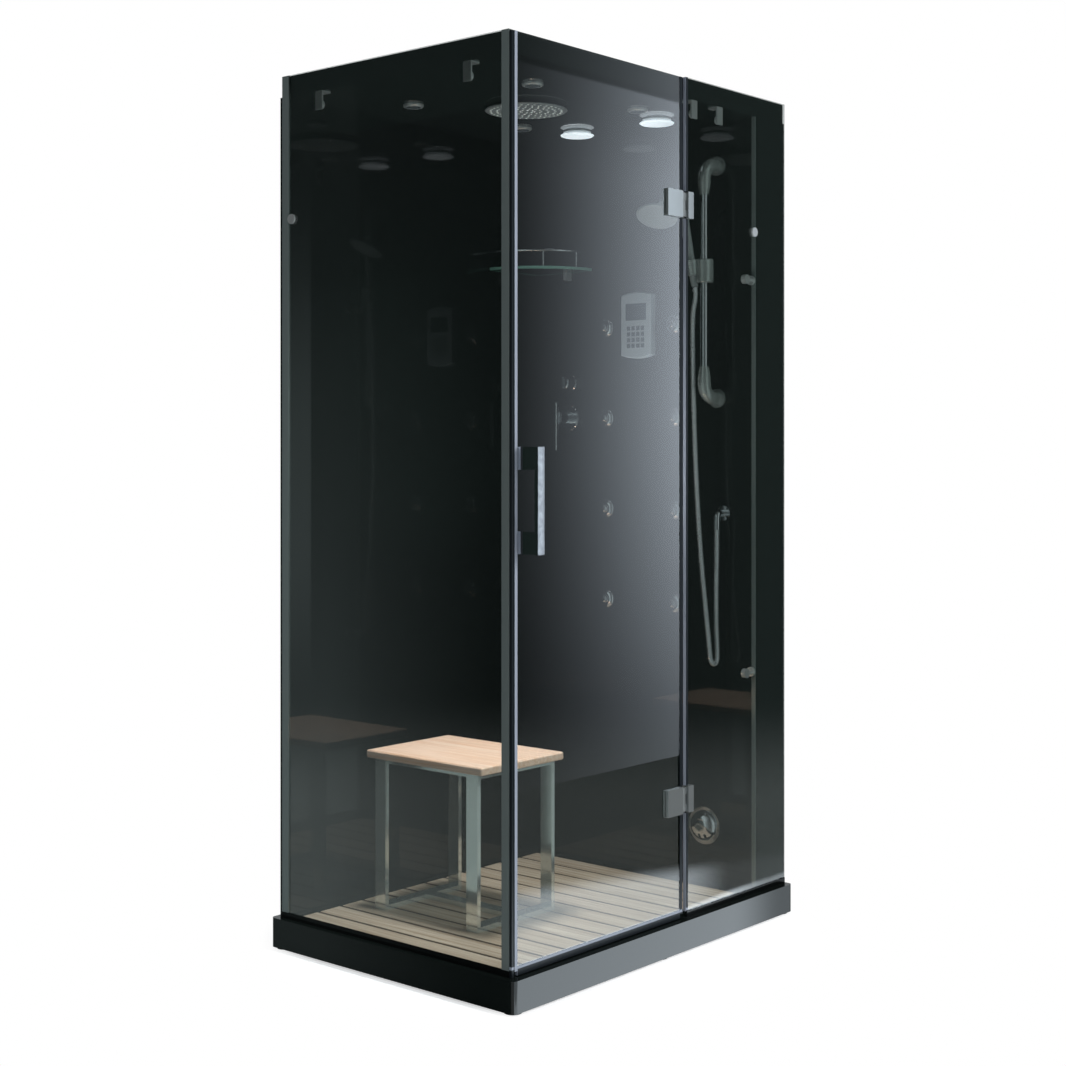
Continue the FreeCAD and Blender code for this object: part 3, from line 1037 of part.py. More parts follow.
# ---------------------------------------------------------------- ceiling
def build_ceiling():
    """Spot lamps, lamp disc and ventilation disc on their collars, rain head, fan housing and fan rotor."""
    rings, lenses, collars, discs = [], [], [], []
    for i, (x, y) in enumerate(spot_places()):
        low, lens = CEILING - D.spot_drop, D.lens_radius
        profile = [(lens, low), (D.spot_radius - 3, low), (D.spot_radius, low + 3), (D.spot_radius, CEILING),
                   (D.spot_can, CEILING), (D.spot_can, CEILING + D.spot_can_height),
                   (0, CEILING + D.spot_can_height), (0, low + D.lens_depth), (lens, low + D.lens_depth)]
        rings.append(turned(f"spot_ring{i}", profile, (x, y, 0)))
        lenses.append(rod(f"spot_lens{i}", (x, y, low), "z", lens, D.lens_depth))
    node("spot_rings", group("rings", *rings))
    node("spot_lenses", group("lenses", *lenses))
    for i, (x, y) in enumerate(disc_places()):
        base = CEILING - D.collar_drop
        collars.append(turned(f"disc_collar{i}", [
            (D.duct_radius, base), (D.collar_ring - 2, base), (D.collar_ring, CEILING - 3),
            (D.collar_ring + 8, CEILING - 3), (D.collar_ring + 8, CEILING), (D.duct_radius, CEILING)], (x, y, 0)))
        low = base - D.disc_thickness
        edge = D.disc_radius
        discs.append(turned(f"ceiling_disc{i}", [
            (0, low), (edge - 6, low, (edge - 2, low + 1.5)), (edge, low + D.disc_thickness * 0.6),
            (edge - 4, base), (0, base)], (x, y, 0)))
    node("ceiling_collars", group("collars", *collars))
    node("ceiling_discs", group("discs", *discs))
    low = CEILING - D.rain_drop
    rain = D.rain_radius
    profile = [(0, low), (rain - 2, low), (rain, low + 2), (rain - 2, low + 4), (30, low + D.rain_thickness),
               (D.nipple_radius + 6, CEILING), (D.nipple_radius, CEILING),
               (D.nipple_radius, CEILING + D.nipple_height), (0, CEILING + D.nipple_height)]
    node("rain_head", turned("rain_disc", profile, (ROOM_X, ROOM_Y, 0)))
    x, y = disc_places()[1]
    base = CEILING + D.roof_skin
    floor = base + D.fan_floor
    shell = box("fan_shell", around(x, D.fan_box), around(y, D.fan_box), (base, base + D.fan_height))
    bore = rod("fan_bore", (x, y, floor), "z", D.fan_bore, D.fan_height)
    throat = rod("fan_throat", (x, y, base - 1), "z", D.duct_radius, D.fan_height)
    ring = cut("fan_ring", shell, bore, throat)
    top = base + D.fan_height
    arm = box("fan_arm", around(x, D.fan_bore * 2 + 6), around(y, 10), (top - 6, top))
    boss = rod("fan_boss", (x, y, top - 10), "z", 8, 10)
    axle_hole = rod("fan_axle_hole", (x, y, top - 20), "z", D.axle_radius + D.pin_play, 30)
    node("fan_housing", cut("fan_bored", fuse("fan_frame", ring, arm, boss), axle_hole))
    rotor_low = floor + 3
    hub = rod("rotor_hub", (x, y, rotor_low), "z", D.rotor_hub, D.rotor_height)
    axle = rod("rotor_axle", (x, y, rotor_low), "z", D.axle_radius, top - rotor_low)
    blades = []
    reach = float(D.rotor_radius)
    for i in range(7):
        blade = Part.makeBox(reach - 6, 22, float(D.blade_thickness), Vector(5, -11, 0))
        blade.rotate(Vector(), Vector(1, 0, 0), float(D.blade_pitch))
        blade.translate(Vector(0, 0, float(D.rotor_height) / 2))
        blade.rotate(Vector(), Vector(0, 0, 1), 360 / 7 * i)
        blades.append(blade)
    limit = Part.makeCylinder(reach, float(D.rotor_height), Vector())
    wheel = shaped("rotor_blades", blades[0].multiFuse(blades[1:]).common(limit))
    place(wheel, (x, y, rotor_low))
    node("fan_rotor", fuse("rotor", hub, axle, wheel))


# ---------------------------------------------------------------- shelf, duckboard, stool
def build_shelf():
    """The corner shelf: quarter-round glass, a round rail above its edge on posts, and wall brackets."""
    low = RIM + D.shelf_height
    top = low + D.shelf_glass
    corner = (WALL_X - D.fit_gap, WALL_Y - D.fit_gap)
    glass = doc.addObject("Part::Cylinder", "shelf_plate")
    glass.setExpression("Radius", D.shelf_radius.text)
    glass.setExpression("Height", D.shelf_glass.text)
    glass.Angle = 90
    place(glass, (*corner, low))
    glass.Placement.Rotation = Rotation(Vector(0, 0, 1), 180)
    node("shelf_glass", glass)
    ring = D.shelf_radius - D.rail_inset
    rail = doc.addObject("Part::Torus", "rail_ring")
    rail.setExpression("Radius1", ring.text)
    rail.setExpression("Radius2", D.rail_radius.text)
    rail.Angle3 = 90
    rail_z = top + D.rail_height
    place(rail, (*corner, rail_z))
    rail.Placement.Rotation = Rotation(Vector(0, 0, 1), 180)
    posts = [rail]
    for i, degrees in enumerate((15, 45, 75)):
        angle = math.radians(degrees)
        x, y = corner[0] - math.cos(angle) * ring, corner[1] - math.sin(angle) * ring
        posts.append(rod(f"rail_post{i}", (x, y, top), "z", D.rail_radius * 0.7, D.rail_height))
    node("shelf_rail", fuse("rail", *posts))
    size, deep = D.bracket_size, D.bracket_depth
    along = D.shelf_radius * 0.6
    blocks = [box("shelf_bracket0", (WALL_X - size, WALL_X), around(WALL_Y - along, deep), (low - size, low)),
              box("shelf_bracket1", around(WALL_X - along, deep), (WALL_Y - size, WALL_Y), (low - size, low))]
    node("shelf_brackets", group("brackets", *blocks))


def build_duckboard():
    """The duckboard: slats that run front to back on four cross battens."""
    low_x, high_x = LEFT + D.rim_left + D.deck_margin, WALL_X - D.rim_right - D.deck_margin
    low_y, high_y = FRONT + D.rim_front + D.deck_margin, WALL_Y - D.rim_back - D.deck_margin
    count = round(float(D.slat_count))
    width = (high_x - low_x - D.slat_gap * (D.slat_count - 1)) / D.slat_count
    level = BASIN + D.batten_height
    slats = []
    for i in range(count):
        x = low_x + i * (width + D.slat_gap)
        slat = box(f"slat_block{i}", (x, x + width), (low_y, high_y), (level, level + D.slat_thickness))
        slats.append(soften(f"slat{i}", slat, D.slat_round, runs_along("y")))
    first = low_y + D.batten_inset
    by_drain = DRAIN_Y - D.drain_cover_radius - D.drain_clear - D.batten_width / 2
    for i, y in enumerate((first, (first + by_drain) / 2, by_drain, high_y - D.batten_inset)):
        slats.append(box(f"batten{i}", (low_x + 10, high_x - 10), around(y, D.batten_width), (BASIN, level)))
    node("duckboard", group("deck", *slats))


def build_stool():
    """The loose stool: wooden seat on two flat-bar loops with a stretcher on the floor."""
    floor = BASIN + D.batten_height + D.slat_thickness
    seat_top = floor + D.seat_height
    under = seat_top - D.seat_thickness
    seat = box("seat_block", around(ROOM_X - D.stool_left, D.seat_length),
               around(ROOM_Y + D.stool_back, D.seat_depth), (under, seat_top))
    node("stool_seat", soften("seat", seat, D.seat_round, any_edge))
    thick, width = D.flat_thickness, D.flat_width
    low_x, high_x = around(ROOM_X - D.stool_left, D.stool_frame_length)
    low_y, high_y = around(ROOM_Y + D.stool_back, D.stool_frame_depth)
    loops = []
    for i, span in enumerate(((low_y, low_y + width), (high_y - width, high_y))):
        outer = box(f"loop_outer{i}", (low_x, high_x), span, (floor, under))
        inner = box(f"loop_inner{i}", (low_x + thick, high_x - thick), (span[0] - 1, span[1] + 1),
                    (floor + thick, under - thick))
        loops.append(cut(f"loop{i}", outer, inner))
    middle = low_x + D.stool_frame_length * D.stretcher_share
    between = (low_y + width, high_y - width)
    loops.append(box("stretcher", around(middle, width), between, (floor, floor + thick)))
    loops.append(box("top_bar0", (low_x + thick, low_x + thick + width), between, (under - thick, under)))
    loops.append(box("top_bar1", (high_x - thick - width, high_x - thick), between, (under - thick, under)))
    node("stool_frame", fuse("stool_loops", *loops))


# ---------------------------------------------------------------- build, check, write
def build_all():
    """Builds every sub-part in order, from the floor up."""
    for step in (build_tray, build_frame, build_drain, build_walls, build_roof, build_fixed_glass,
                 build_profiles, build_seals, build_clamps, build_hinges, build_door, build_steam,
                 build_pipework, build_mixer, build_jets, build_riser, build_bracket, build_hand_shower,
                 build_hose, build_panel, build_ceiling, build_shelf, build_duckboard, build_stool):
        step()
    doc.recompute()


def faults():
    """What failed to build, as plain sentences."""
    found = [f"{o.Label} is {o.State}" for o in doc.Objects if {"Invalid", "Error"} & set(o.State)]
    for piece in nodes:
        if piece.Shape.isNull() or not piece.Shape.isValid() or not piece.Shape.Solids:
            found.append(f"{piece.Label} has no valid solid")
    return found


def write_all():
    """Writes each sub-part to its own file."""
    os.makedirs("parts", exist_ok=True)
    for piece in nodes:
        piece.Shape.exportStep(f"parts/{piece.Label}.step")
    print(len(nodes), "nodes,", sum(len(piece.Shape.Solids) for piece in nodes), "solids")


build_all()
problems = faults()
if problems:
    raise RuntimeError("; ".join(problems))
write_all()
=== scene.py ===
"""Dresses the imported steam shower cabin: a finish for every node, the ribbed hose and the rain nozzles.

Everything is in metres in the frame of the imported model: +Z up, the door faces -Y, the side glass faces -X.
"""
from __future__ import annotations

import json
import logging
import math
from dataclasses import dataclass
from enum import Enum
from typing import Sequence

import bmesh
import bpy
from mathutils import Matrix, Vector

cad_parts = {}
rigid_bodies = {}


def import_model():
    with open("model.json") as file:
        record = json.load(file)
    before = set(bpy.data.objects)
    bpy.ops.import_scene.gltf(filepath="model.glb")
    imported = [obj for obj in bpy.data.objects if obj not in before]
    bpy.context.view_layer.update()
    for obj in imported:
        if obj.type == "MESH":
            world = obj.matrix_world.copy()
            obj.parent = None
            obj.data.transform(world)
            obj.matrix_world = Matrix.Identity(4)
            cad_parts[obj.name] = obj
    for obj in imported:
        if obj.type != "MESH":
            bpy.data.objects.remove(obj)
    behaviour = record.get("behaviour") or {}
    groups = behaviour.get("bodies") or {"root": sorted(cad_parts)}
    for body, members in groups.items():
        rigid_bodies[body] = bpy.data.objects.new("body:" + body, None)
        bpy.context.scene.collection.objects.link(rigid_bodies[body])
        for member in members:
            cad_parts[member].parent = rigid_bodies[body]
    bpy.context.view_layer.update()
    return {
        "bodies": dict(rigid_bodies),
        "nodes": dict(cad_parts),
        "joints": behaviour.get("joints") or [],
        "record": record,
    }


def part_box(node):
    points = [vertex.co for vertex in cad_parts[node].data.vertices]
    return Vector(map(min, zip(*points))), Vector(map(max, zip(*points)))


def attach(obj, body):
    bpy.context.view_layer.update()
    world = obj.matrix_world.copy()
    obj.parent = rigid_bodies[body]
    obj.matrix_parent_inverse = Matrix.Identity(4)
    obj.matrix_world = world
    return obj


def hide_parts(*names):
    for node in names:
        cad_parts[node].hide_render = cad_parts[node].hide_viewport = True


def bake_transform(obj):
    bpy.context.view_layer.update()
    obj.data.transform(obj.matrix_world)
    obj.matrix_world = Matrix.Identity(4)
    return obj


LOG = logging.getLogger("steam_shower")
Point = tuple[float, float, float]
Colour = tuple[float, float, float, float]
Tree = bpy.types.NodeTree
Node = bpy.types.Node
Socket = bpy.types.NodeSocket
MM = 0.001
WHITE: Colour = (1.0, 1.0, 1.0, 1.0)
BLACK: Colour = (0.0, 0.0, 0.0, 1.0)
# where each axis stands in a point
X, Y, Z = range(3)
# from this upward part of its normal on, a face looks up
FACES_UP = 0.9
# lengths closer than this are the same
SAME = 1e-6
# a ray with fewer bounces than this has had none
NO_BOUNCE = 0.5


# ---------------------------------------------------------------- small tools
def linear(code: str) -> Colour:
    """Turns an sRGB hex colour into the linear colour that a shader takes.

    Args:
        code: six hex digits with a leading hash.

    Returns:
        Linear red, green, blue and an alpha of one.
    """
    parts = [int(code[i:i + 2], 16) / 255 for i in (1, 3, 5)]
    return (*(c / 12.92 if c <= 0.04045 else ((c + 0.055) / 1.055) ** 2.4 for c in parts), 1.0)


def add(tree: Tree, kind: str, settings: dict | None = None, **links: Socket) -> Node:
    """Adds a node with its settings and links.

    Args:
        tree: the node tree that gets it.
        kind: the node's class name without the leading ShaderNode.
        settings: attribute names, and input names or numbers, with their values.
        links: input names, underscores for spaces, or i and an input's number, with what feeds each.

    Returns:
        The new node.
    """
    node = tree.nodes.new(f"ShaderNode{kind}")
    for name, value in (settings or {}).items():
        if isinstance(name, int) or name in node.inputs:
            node.inputs[name].default_value = value
        else:
            setattr(node, name, value)
    for name, socket in links.items():
        key: int | str = int(name[1:]) if name[1:].isdigit() and name[0] == "i" else name.replace("_", " ")
        tree.links.new(socket, node.inputs[key])
    return node


def wire(tree: Tree, kind: str, *values: Socket | Colour | float, **settings: str) -> Socket:
    """Adds a node whose inputs are given in their order.

    Args:
        tree: the node tree.
        kind: the node's class name without the leading ShaderNode.
        values: what feeds the inputs from the first one on: a socket, a number or a colour.
        settings: the node's attributes.

    Returns:
        The node's first output.
    """
    fixed = {i: value for i, value in enumerate(values) if not isinstance(value, Socket)}
    fed = {f"i{i}": value for i, value in enumerate(values) if isinstance(value, Socket)}
    return add(tree, kind, {**settings, **fixed}, **fed).outputs[0]


def calc(tree: Tree, operation: str, *values: Socket | float) -> Socket:
    """Does one step of arithmetic.

    Args:
        tree: the node tree.
        operation: the Math node's operation.
        values: what it works on, in order.

    Returns:
        The result.
    """
    return wire(tree, "Math", *values, operation=operation)


def times(tree: Tree, first: Socket, *others: Socket | float) -> Socket:
    """Multiplies sockets and numbers.

    Args:
        tree: the node tree.
        first: the first factor.
        others: the other factors.

    Returns:
        The product.
    """
    for other in others:
        first = calc(tree, "MULTIPLY", first, other)
    return first


def mix(tree: Tree, share: Socket, first: Socket | Colour, second: Socket | Colour) -> Socket:
    """Mixes two colours.

    Args:
        tree: the node tree.
        share: how much of the second one it takes.
        first: the colour at a share of nought.
        second: the colour at a share of one.

    Returns:
        The mixed colour.
    """
    return wire(tree, "MixRGB", share, first, second)


def ramp(tree: Tree, value: Socket, start: float, end: float, low: float = 0.0, high: float = 1.0,
         soft: bool = True) -> Socket:
    """Maps a value from one range to another.

    Args:
        tree: the node tree.
        value: the socket to map.
        start: the value that gives low.
        end: the value that gives high.
        low: the lowest result.
        high: the highest result.
        soft: whether it eases at both ends.

    Returns:
        The mapped socket.
    """
    settings = {"From Min": start, "From Max": end, "To Min": low, "To Max": high}
    if soft:
        settings["interpolation_type"] = "SMOOTHSTEP"
    return add(tree, "MapRange", settings, Value=value).outputs[0]


def place_parts(tree: Tree, kind: str = "Object") -> Sequence[Socket]:
    """Splits a texture coordinate.

    Args:
        tree: the node tree.
        kind: which coordinate it is.

    Returns:
        Its X, Y and Z.
    """
    return add(tree, "SeparateXYZ", i0=add(tree, "TexCoord").outputs[kind]).outputs


def streaks(tree: Tree, place: Socket, width_mm: float, stretch: Point, detail: float,
            distortion: float = 0.0) -> Socket:
    """Lays a noise that can be drawn out along an axis.

    Args:
        tree: the node tree.
        place: where the noise is read.
        width_mm: how wide its blotches or streaks are.
        stretch: the scale along each axis, less than one where it is drawn out.
        detail: how much finer noise it carries.
        distortion: how much it wanders.

    Returns:
        The noise, from nought to one.
    """
    drawn = add(tree, "Mapping", {"Scale": stretch}, Vector=place).outputs[0]
    settings = {"Scale": 1 / (width_mm * MM), "Detail": detail, "Distortion": distortion}
    return add(tree, "TexNoise", settings, Vector=drawn).outputs["Fac"]


def blank_tree(owner: bpy.types.Material | bpy.types.World) -> Tree:
    """Gives a new material or world an empty node tree.

    Args:
        owner: the material or world.

    Returns:
        Its node tree.
    """
    owner.use_nodes = True
    owner.node_tree.nodes.clear()
    return owner.node_tree


def deselect() -> None:
    """Leaves nothing selected, so that the next operator acts on its own piece only."""
    if bpy.context.object is not None and bpy.context.object.mode != "OBJECT":
        bpy.ops.object.mode_set(mode="OBJECT")
    bpy.ops.object.select_all(action="DESELECT")


def settle(obj: bpy.types.Object) -> bpy.types.Object:
    """Moves an object's place, turn and size into its mesh.

    Args:
        obj: a mesh object.

    Returns:
        The same object, at the origin.
    """
    obj.data.transform(obj.matrix_world)
    obj.matrix_world = Matrix.Identity(4)
    return obj


def turn_towards(axis: Sequence[float]) -> tuple[float, float, float]:
    """Gives the Euler angles that turn +Z to an axis.

    Args:
        axis: the direction to face.

    Returns:
        The angles in radians.
    """
    return tuple(Vector(axis).to_track_quat("Z", "Y").to_euler())


def smooth(obj: bpy.types.Object, degrees: float = 35.0) -> None:
    """Shades a piece smooth except over its sharp edges.

    Args:
        obj: the piece.
        degrees: the angle from which an edge stays sharp.
    """
    deselect()
    obj.select_set(True)
    bpy.context.view_layer.objects.active = obj
    bpy.ops.object.shade_smooth_by_angle(angle=math.radians(degrees))
    deselect()


def join(name: str, pieces: list[bpy.types.Object]) -> bpy.types.Object:
    """Joins copies of a small shape into one piece.

    Args:
        name: the name of the piece.
        pieces: mesh objects, all at the origin.

    Returns:
        The joined piece.
    """
    deselect()
    for piece in pieces:
        piece.select_set(True)
    bpy.context.view_layer.objects.active = pieces[0]
    bpy.ops.object.join()
    pieces[0].name = name
    deselect()
    return pieces[0]


def stepped_disc(name: str, at: Point, axis: Point, steps: Sequence[tuple[float, float]],
                 sides: int) -> bpy.types.Object:
    """Models a turned piece from a cylinder, by insetting and extruding its top.

    Args:
        name: the name of the piece.
        at: the middle of its back face.
        axis: the way that it stands out.
        steps: (radius, height) of each step, each narrower than the last; the first is the cylinder itself.
        sides: how many sides the cylinder has.

    Returns:
        The piece, at the origin.
    """
    deselect()
    radius, level = steps[0]
    bpy.ops.mesh.primitive_cylinder_add(vertices=sides, radius=radius, depth=level,
                                        location=(0, 0, level / 2))
    obj = bpy.context.object
    settle(obj)
    for radius_next, height_next in steps[1:]:
        bpy.ops.object.mode_set(mode="EDIT")
        mesh = bmesh.from_edit_mesh(obj.data)
        for face in mesh.faces:
            face.select_set(face.normal.z > FACES_UP and abs(face.calc_center_median().z - level) < SAME)
        bmesh.update_edit_mesh(obj.data)
        bpy.ops.mesh.inset(thickness=radius - radius_next)
        bpy.ops.mesh.extrude_region_move(TRANSFORM_OT_translate={"value": (0, 0, height_next - level)})
        radius, level = radius_next, height_next
        bpy.ops.object.mode_set(mode="OBJECT")
    obj.rotation_euler = turn_towards(axis)
    obj.location = at
    bpy.context.view_layer.update()
    settle(obj)
    obj.name = name
    smooth(obj)
    return obj


# ---------------------------------------------------------------- finishes
class Pattern(Enum):
    """How a finish varies over its surface."""

    NONE = "even"
    MOULDED = "slow waves of a moulded sheet"
    BRUSHED = "fine lines"
    CAST = "soft blotches"

    @property
    def stretch(self) -> Point:
        """How the noise is scaled along each axis; fine lines are 25 times as long as they are wide."""
        return (1.0, 1.0, 0.04) if self is Pattern.BRUSHED else (1.0, 1.0, 1.0)


@dataclass(frozen=True)
class Finish:
    """A surface: the shader's own values, and the pattern laid over them."""

    name: str
    slot: str
    colour: str
    roughness: float
    metallic: float = 0.0
    ior: float = 1.5
    coat: float = 0.0
    pattern: Pattern = Pattern.NONE
    size_mm: float = 10.0
    spread: float = 0.1
    relief_mm: float = 0.0

    def material(self) -> bpy.types.Material:
        """Builds the material once and gives it again after that.

        Returns:
            The material.
        """
        made = bpy.data.materials.get(self.name)
        if made is None:
            made = bpy.data.materials.new(self.name)
            tree = blank_tree(made)
            shader = add(tree, "BsdfPrincipled", {
                "Base Color": linear(self.colour), "Roughness": self.roughness, "Metallic": self.metallic,
                "IOR": self.ior, "Coat Weight": self.coat, "Coat Roughness": 0.03})
            self.lay_pattern(tree, shader)
            add(tree, "OutputMaterial", Surface=self.surface(tree, shader))
        return made

    def surface(self, tree: Tree, shader: Node) -> Socket:
        """Gives what the material shows.

        Args:
            tree: the material's node tree.
            shader: its main shader.

        Returns:
            The shader's own output.
        """
        return shader.outputs[0]

    def lay_pattern(self, tree: Tree, shader: Node) -> None:
        """Varies roughness, and relief where there is some, at the finish's own scale.

        Args:
            tree: the material's node tree.
            shader: its main shader.
        """
        if self.pattern is Pattern.NONE:
            return
        noise = streaks(tree, add(tree, "TexCoord").outputs["Object"], self.size_mm, self.pattern.stretch,
                        detail=3.0)
        level = ramp(tree, noise, 0.0, 1.0, self.roughness * (1 - self.spread),
                     self.roughness * (1 + self.spread), soft=False)
        tree.links.new(level, shader.inputs["Roughness"])
        if self.relief_mm:
            bump = add(tree, "Bump", {"Strength": 0.4, "Distance": self.relief_mm * MM}, Height=noise)
            tree.links.new(bump.outputs[0], shader.inputs["Normal"])


@dataclass(frozen=True)
class Glass(Finish):
    """Clear tempered glass that lets the light of lamps through to what is behind it."""

    def surface(self, tree: Tree, shader: Node) -> Socket:
        """Gives the glass, with plain see-through for rays from lamps.

        Args:
            tree: the material's node tree.
            shader: its main shader, which is made to transmit.

        Returns:
            The mixed surface.
        """
        shader.inputs["Transmission Weight"].default_value = 1.0
        clear = add(tree, "BsdfTransparent", {"Color": linear(self.colour)}).outputs[0]
        lamp_ray = add(tree, "LightPath").outputs["Is Shadow Ray"]
        return wire(tree, "MixShader", lamp_ray, shader.outputs[0], clear)


@dataclass(frozen=True)
class EdgeGlass(Glass):
    """Clear glass whose ground edge is pale."""

    edge: str = "#5A7D72"
    # under this upward part of its normal, a face belongs to the edge
    upright: float = 0.5

    def surface(self, tree: Tree, shader: Node) -> Socket:
        """Gives the glass, and a pale ground surface where it doesn't face up or down.

        Args:
            tree: the material's node tree.
            shader: its main shader.

        Returns:
            The mixed surface.
        """
        clear = super().surface(tree, shader)
        upward = calc(tree, "ABSOLUTE", place_parts(tree, "Normal")[Z])
        side = calc(tree, "LESS_THAN", upward, self.upright)
        ground = add(tree, "BsdfDiffuse", {"Color": linear(self.edge)}).outputs[0]
        return wire(tree, "MixShader", side, clear, ground)


@dataclass(frozen=True, kw_only=True)
class Split(Finish):
    """A finish that has another colour on the low side of a plane across an axis."""

    axis: int
    plane: float
    below: str

    def lay_pattern(self, tree: Tree, shader: Node) -> None:
        """Colours what lies below the plane, and lays the pattern.

        Args:
            tree: the material's node tree.
            shader: its main shader.
        """
        under = calc(tree, "LESS_THAN", place_parts(tree)[self.axis], self.plane)
        tint = mix(tree, under, linear(self.colour), linear(self.below))
        tree.links.new(tint, shader.inputs["Base Color"])
        super().lay_pattern(tree, shader)


@dataclass(frozen=True)
class Seal(Finish):
    """Co-extruded vinyl: a body painted near black as shade for the dark gap beside the corner profile, with
    milky lips, each between two planes across an axis.
    """

    # painted shade: the body is coloured near black for the shade in the gap beside the corner profile
    body: str = "#161B1F"
    lips: tuple[tuple[int, float, float], ...] = (
        (X, -0.5316, -0.5222), (X, 0.1060, 0.1074), (Z, 0.0925, 0.0990))

    def lay_pattern(self, tree: Tree, shader: Node) -> None:
        """Colours the lips, and lays the fine lines of the die.

        Args:
            tree: the material's node tree.
            shader: its main shader.
        """
        parts = place_parts(tree)
        # the body colour is painted shade; only the lips keep the vinyl's milky colour
        tint: Socket | Colour = linear(self.body)
        for axis, low, high in self.lips:
            within = times(tree, calc(tree, "GREATER_THAN", parts[axis], low),
                           calc(tree, "LESS_THAN", parts[axis], high))
            tint = mix(tree, within, tint, linear(self.colour))
        tree.links.new(tint, shader.inputs["Base Color"])
        super().lay_pattern(tree, shader)


@dataclass(frozen=True)
class Glow(Finish):
    """An opal diffuser with a little light behind it."""

    light: str = "#F2F8FF"
    strength: float = 0.7

    def lay_pattern(self, tree: Tree, shader: Node) -> None:
        """Lights the diffuser, and frosts it with a fine noise.

        Args:
            tree: the material's node tree.
            shader: its main shader.
        """
        shader.inputs["Emission Color"].default_value = linear(self.light)
        shader.inputs["Emission Strength"].default_value = self.strength
        super().lay_pattern(tree, shader)


@dataclass(frozen=True, kw_only=True)
class Timber(Finish):
    """Oiled slats: grain along Y, with each slat a tone of its own, and painted shade along the gaps between
    slats.
    """

    pitch_mm: float
    light: str
    dark: str
    # how far the painted shade of the gaps between slats reaches into each slat
    seam_shade_mm: float = 0.0
    # the slats are set out from this far left of the middle
    first_slat: float = 0.5075
    # how far the grain moves on from one slat to the next, so that no two are alike
    slat_shift: Point = (3.1, 7.7, 1.3)
    pore_colour: str = "#5E4632"
    # the colour of the painted shade along the gaps between slats
    seam_shade_colour: str = "#4A3828"
    # how sharply the painted shade along a gap ends, as a share of the pitch
    seam_shade_fade: float = 0.012
    # the part of the noise over which growth rings turn dark, and the same for pores
    ring_range: tuple[float, float] = (0.36, 0.68)
    pore_range: tuple[float, float] = (0.55, 0.75)
    # the most that a slat leans to the base colour, and that a pore darkens it
    most_tone: float = 0.34
    most_pore: float = 0.35
    # how much smoother and rougher the rings are
    roughness_range: tuple[float, float] = (-0.08, 0.1)

    def lay_pattern(self, tree: Tree, shader: Node) -> None:
        """Lays long grain, darker pores, a tone for each slat and painted shade along the gaps between slats.

        Args:
            tree: the material's node tree.
            shader: its main shader.
        """
        place = add(tree, "TexCoord").outputs["Object"]
        across = add(tree, "SeparateXYZ", i0=place).outputs[X]
        slat = calc(tree, "DIVIDE", calc(tree, "ADD", across, self.first_slat), self.pitch_mm * MM)
        number = calc(tree, "FLOOR", slat)
        tone = add(tree, "TexWhiteNoise", {"noise_dimensions": "1D"}, W=number).outputs["Value"]
        shift = add(tree, "VectorMath", {"operation": "SCALE", 0: self.slat_shift}, Scale=number).outputs[0]
        moved = wire(tree, "VectorMath", place, shift, operation="ADD")
        # growth rings 9 mm wide, and pores of 1.4 mm that are drawn out further
        grain = streaks(tree, moved, 9.0, (1.0, 0.03, 1.0), detail=5.0, distortion=0.5)
        pores = streaks(tree, moved, 1.4, (1.0, 0.012, 1.0), detail=2.0)
        ringed = ramp(tree, grain, *self.ring_range, soft=False)
        leaning = ramp(tree, tone, 0.0, 1.0, high=self.most_tone, soft=False)
        pored = ramp(tree, pores, *self.pore_range, high=self.most_pore, soft=False)
        wood = mix(tree, ringed, linear(self.light), linear(self.dark))
        toned = mix(tree, leaning, wood, linear(self.colour))
        colour = mix(tree, pored, toned, linear(self.pore_colour))
        if self.seam_shade_mm:
            # painted shade along the gap between two slats, half a pitch from a middle
            aside = calc(tree, "ABSOLUTE", calc(tree, "SUBTRACT", calc(tree, "FRACT", slat), 0.5))
            edge = 0.5 - self.seam_shade_mm / self.pitch_mm
            seam_shade = ramp(tree, aside, edge - self.seam_shade_fade, edge, soft=False)
            colour = mix(tree, seam_shade, colour, linear(self.seam_shade_colour))
        smoothest, roughest = (self.roughness + change for change in self.roughness_range)
        rough = ramp(tree, grain, 0.0, 1.0, smoothest, roughest, soft=False)
        bump = add(tree, "Bump", {"Strength": 0.25, "Distance": 0.4 * MM}, Height=pores).outputs[0]
        tree.links.new(colour, shader.inputs["Base Color"])
        tree.links.new(rough, shader.inputs["Roughness"])
        tree.links.new(bump, shader.inputs["Normal"])


# Cast acrylic, gloss black: deep and even, with the slow waves that a moulding leaves in its reflections.
ACRYLIC = Finish("cast_acrylic_black", "black_acrylic", "#0D1110", 0.07, ior=1.4, pattern=Pattern.MOULDED,
                 size_mm=180, spread=0.25, relief_mm=0.05)
# Back-painted panel: a black mirror, as flat as glass.
PANEL = Finish("back_painted_panel_black", "black_panel", "#050807", 0.04, ior=1.4, pattern=Pattern.MOULDED,
               size_mm=400, spread=0.3)
# Float glass, tempered: clear with a slight grey-green cast; its easy-clean oxide coat mirrors more than
# bare glass does, which the index stands for.
FLOAT_GLASS = Glass("tempered_float_glass", "clear_glass", "#EFF5F4", 0.0, ior=1.8)
# Bare float glass on the shelf: greener where it is seen through its thickness, with a ground edge.
SHELF_GLASS = EdgeGlass("polished_edge_glass", "shelf_clear_glass", "#D6EFE8", 0.02)
# Chrome plate on brass: a near mirror, faintly uneven from polishing.
CHROME = Finish("chrome_plate", "polished_chrome", "#D5D8DB", 0.07, 1.0, pattern=Pattern.CAST, size_mm=14,
                spread=0.5)
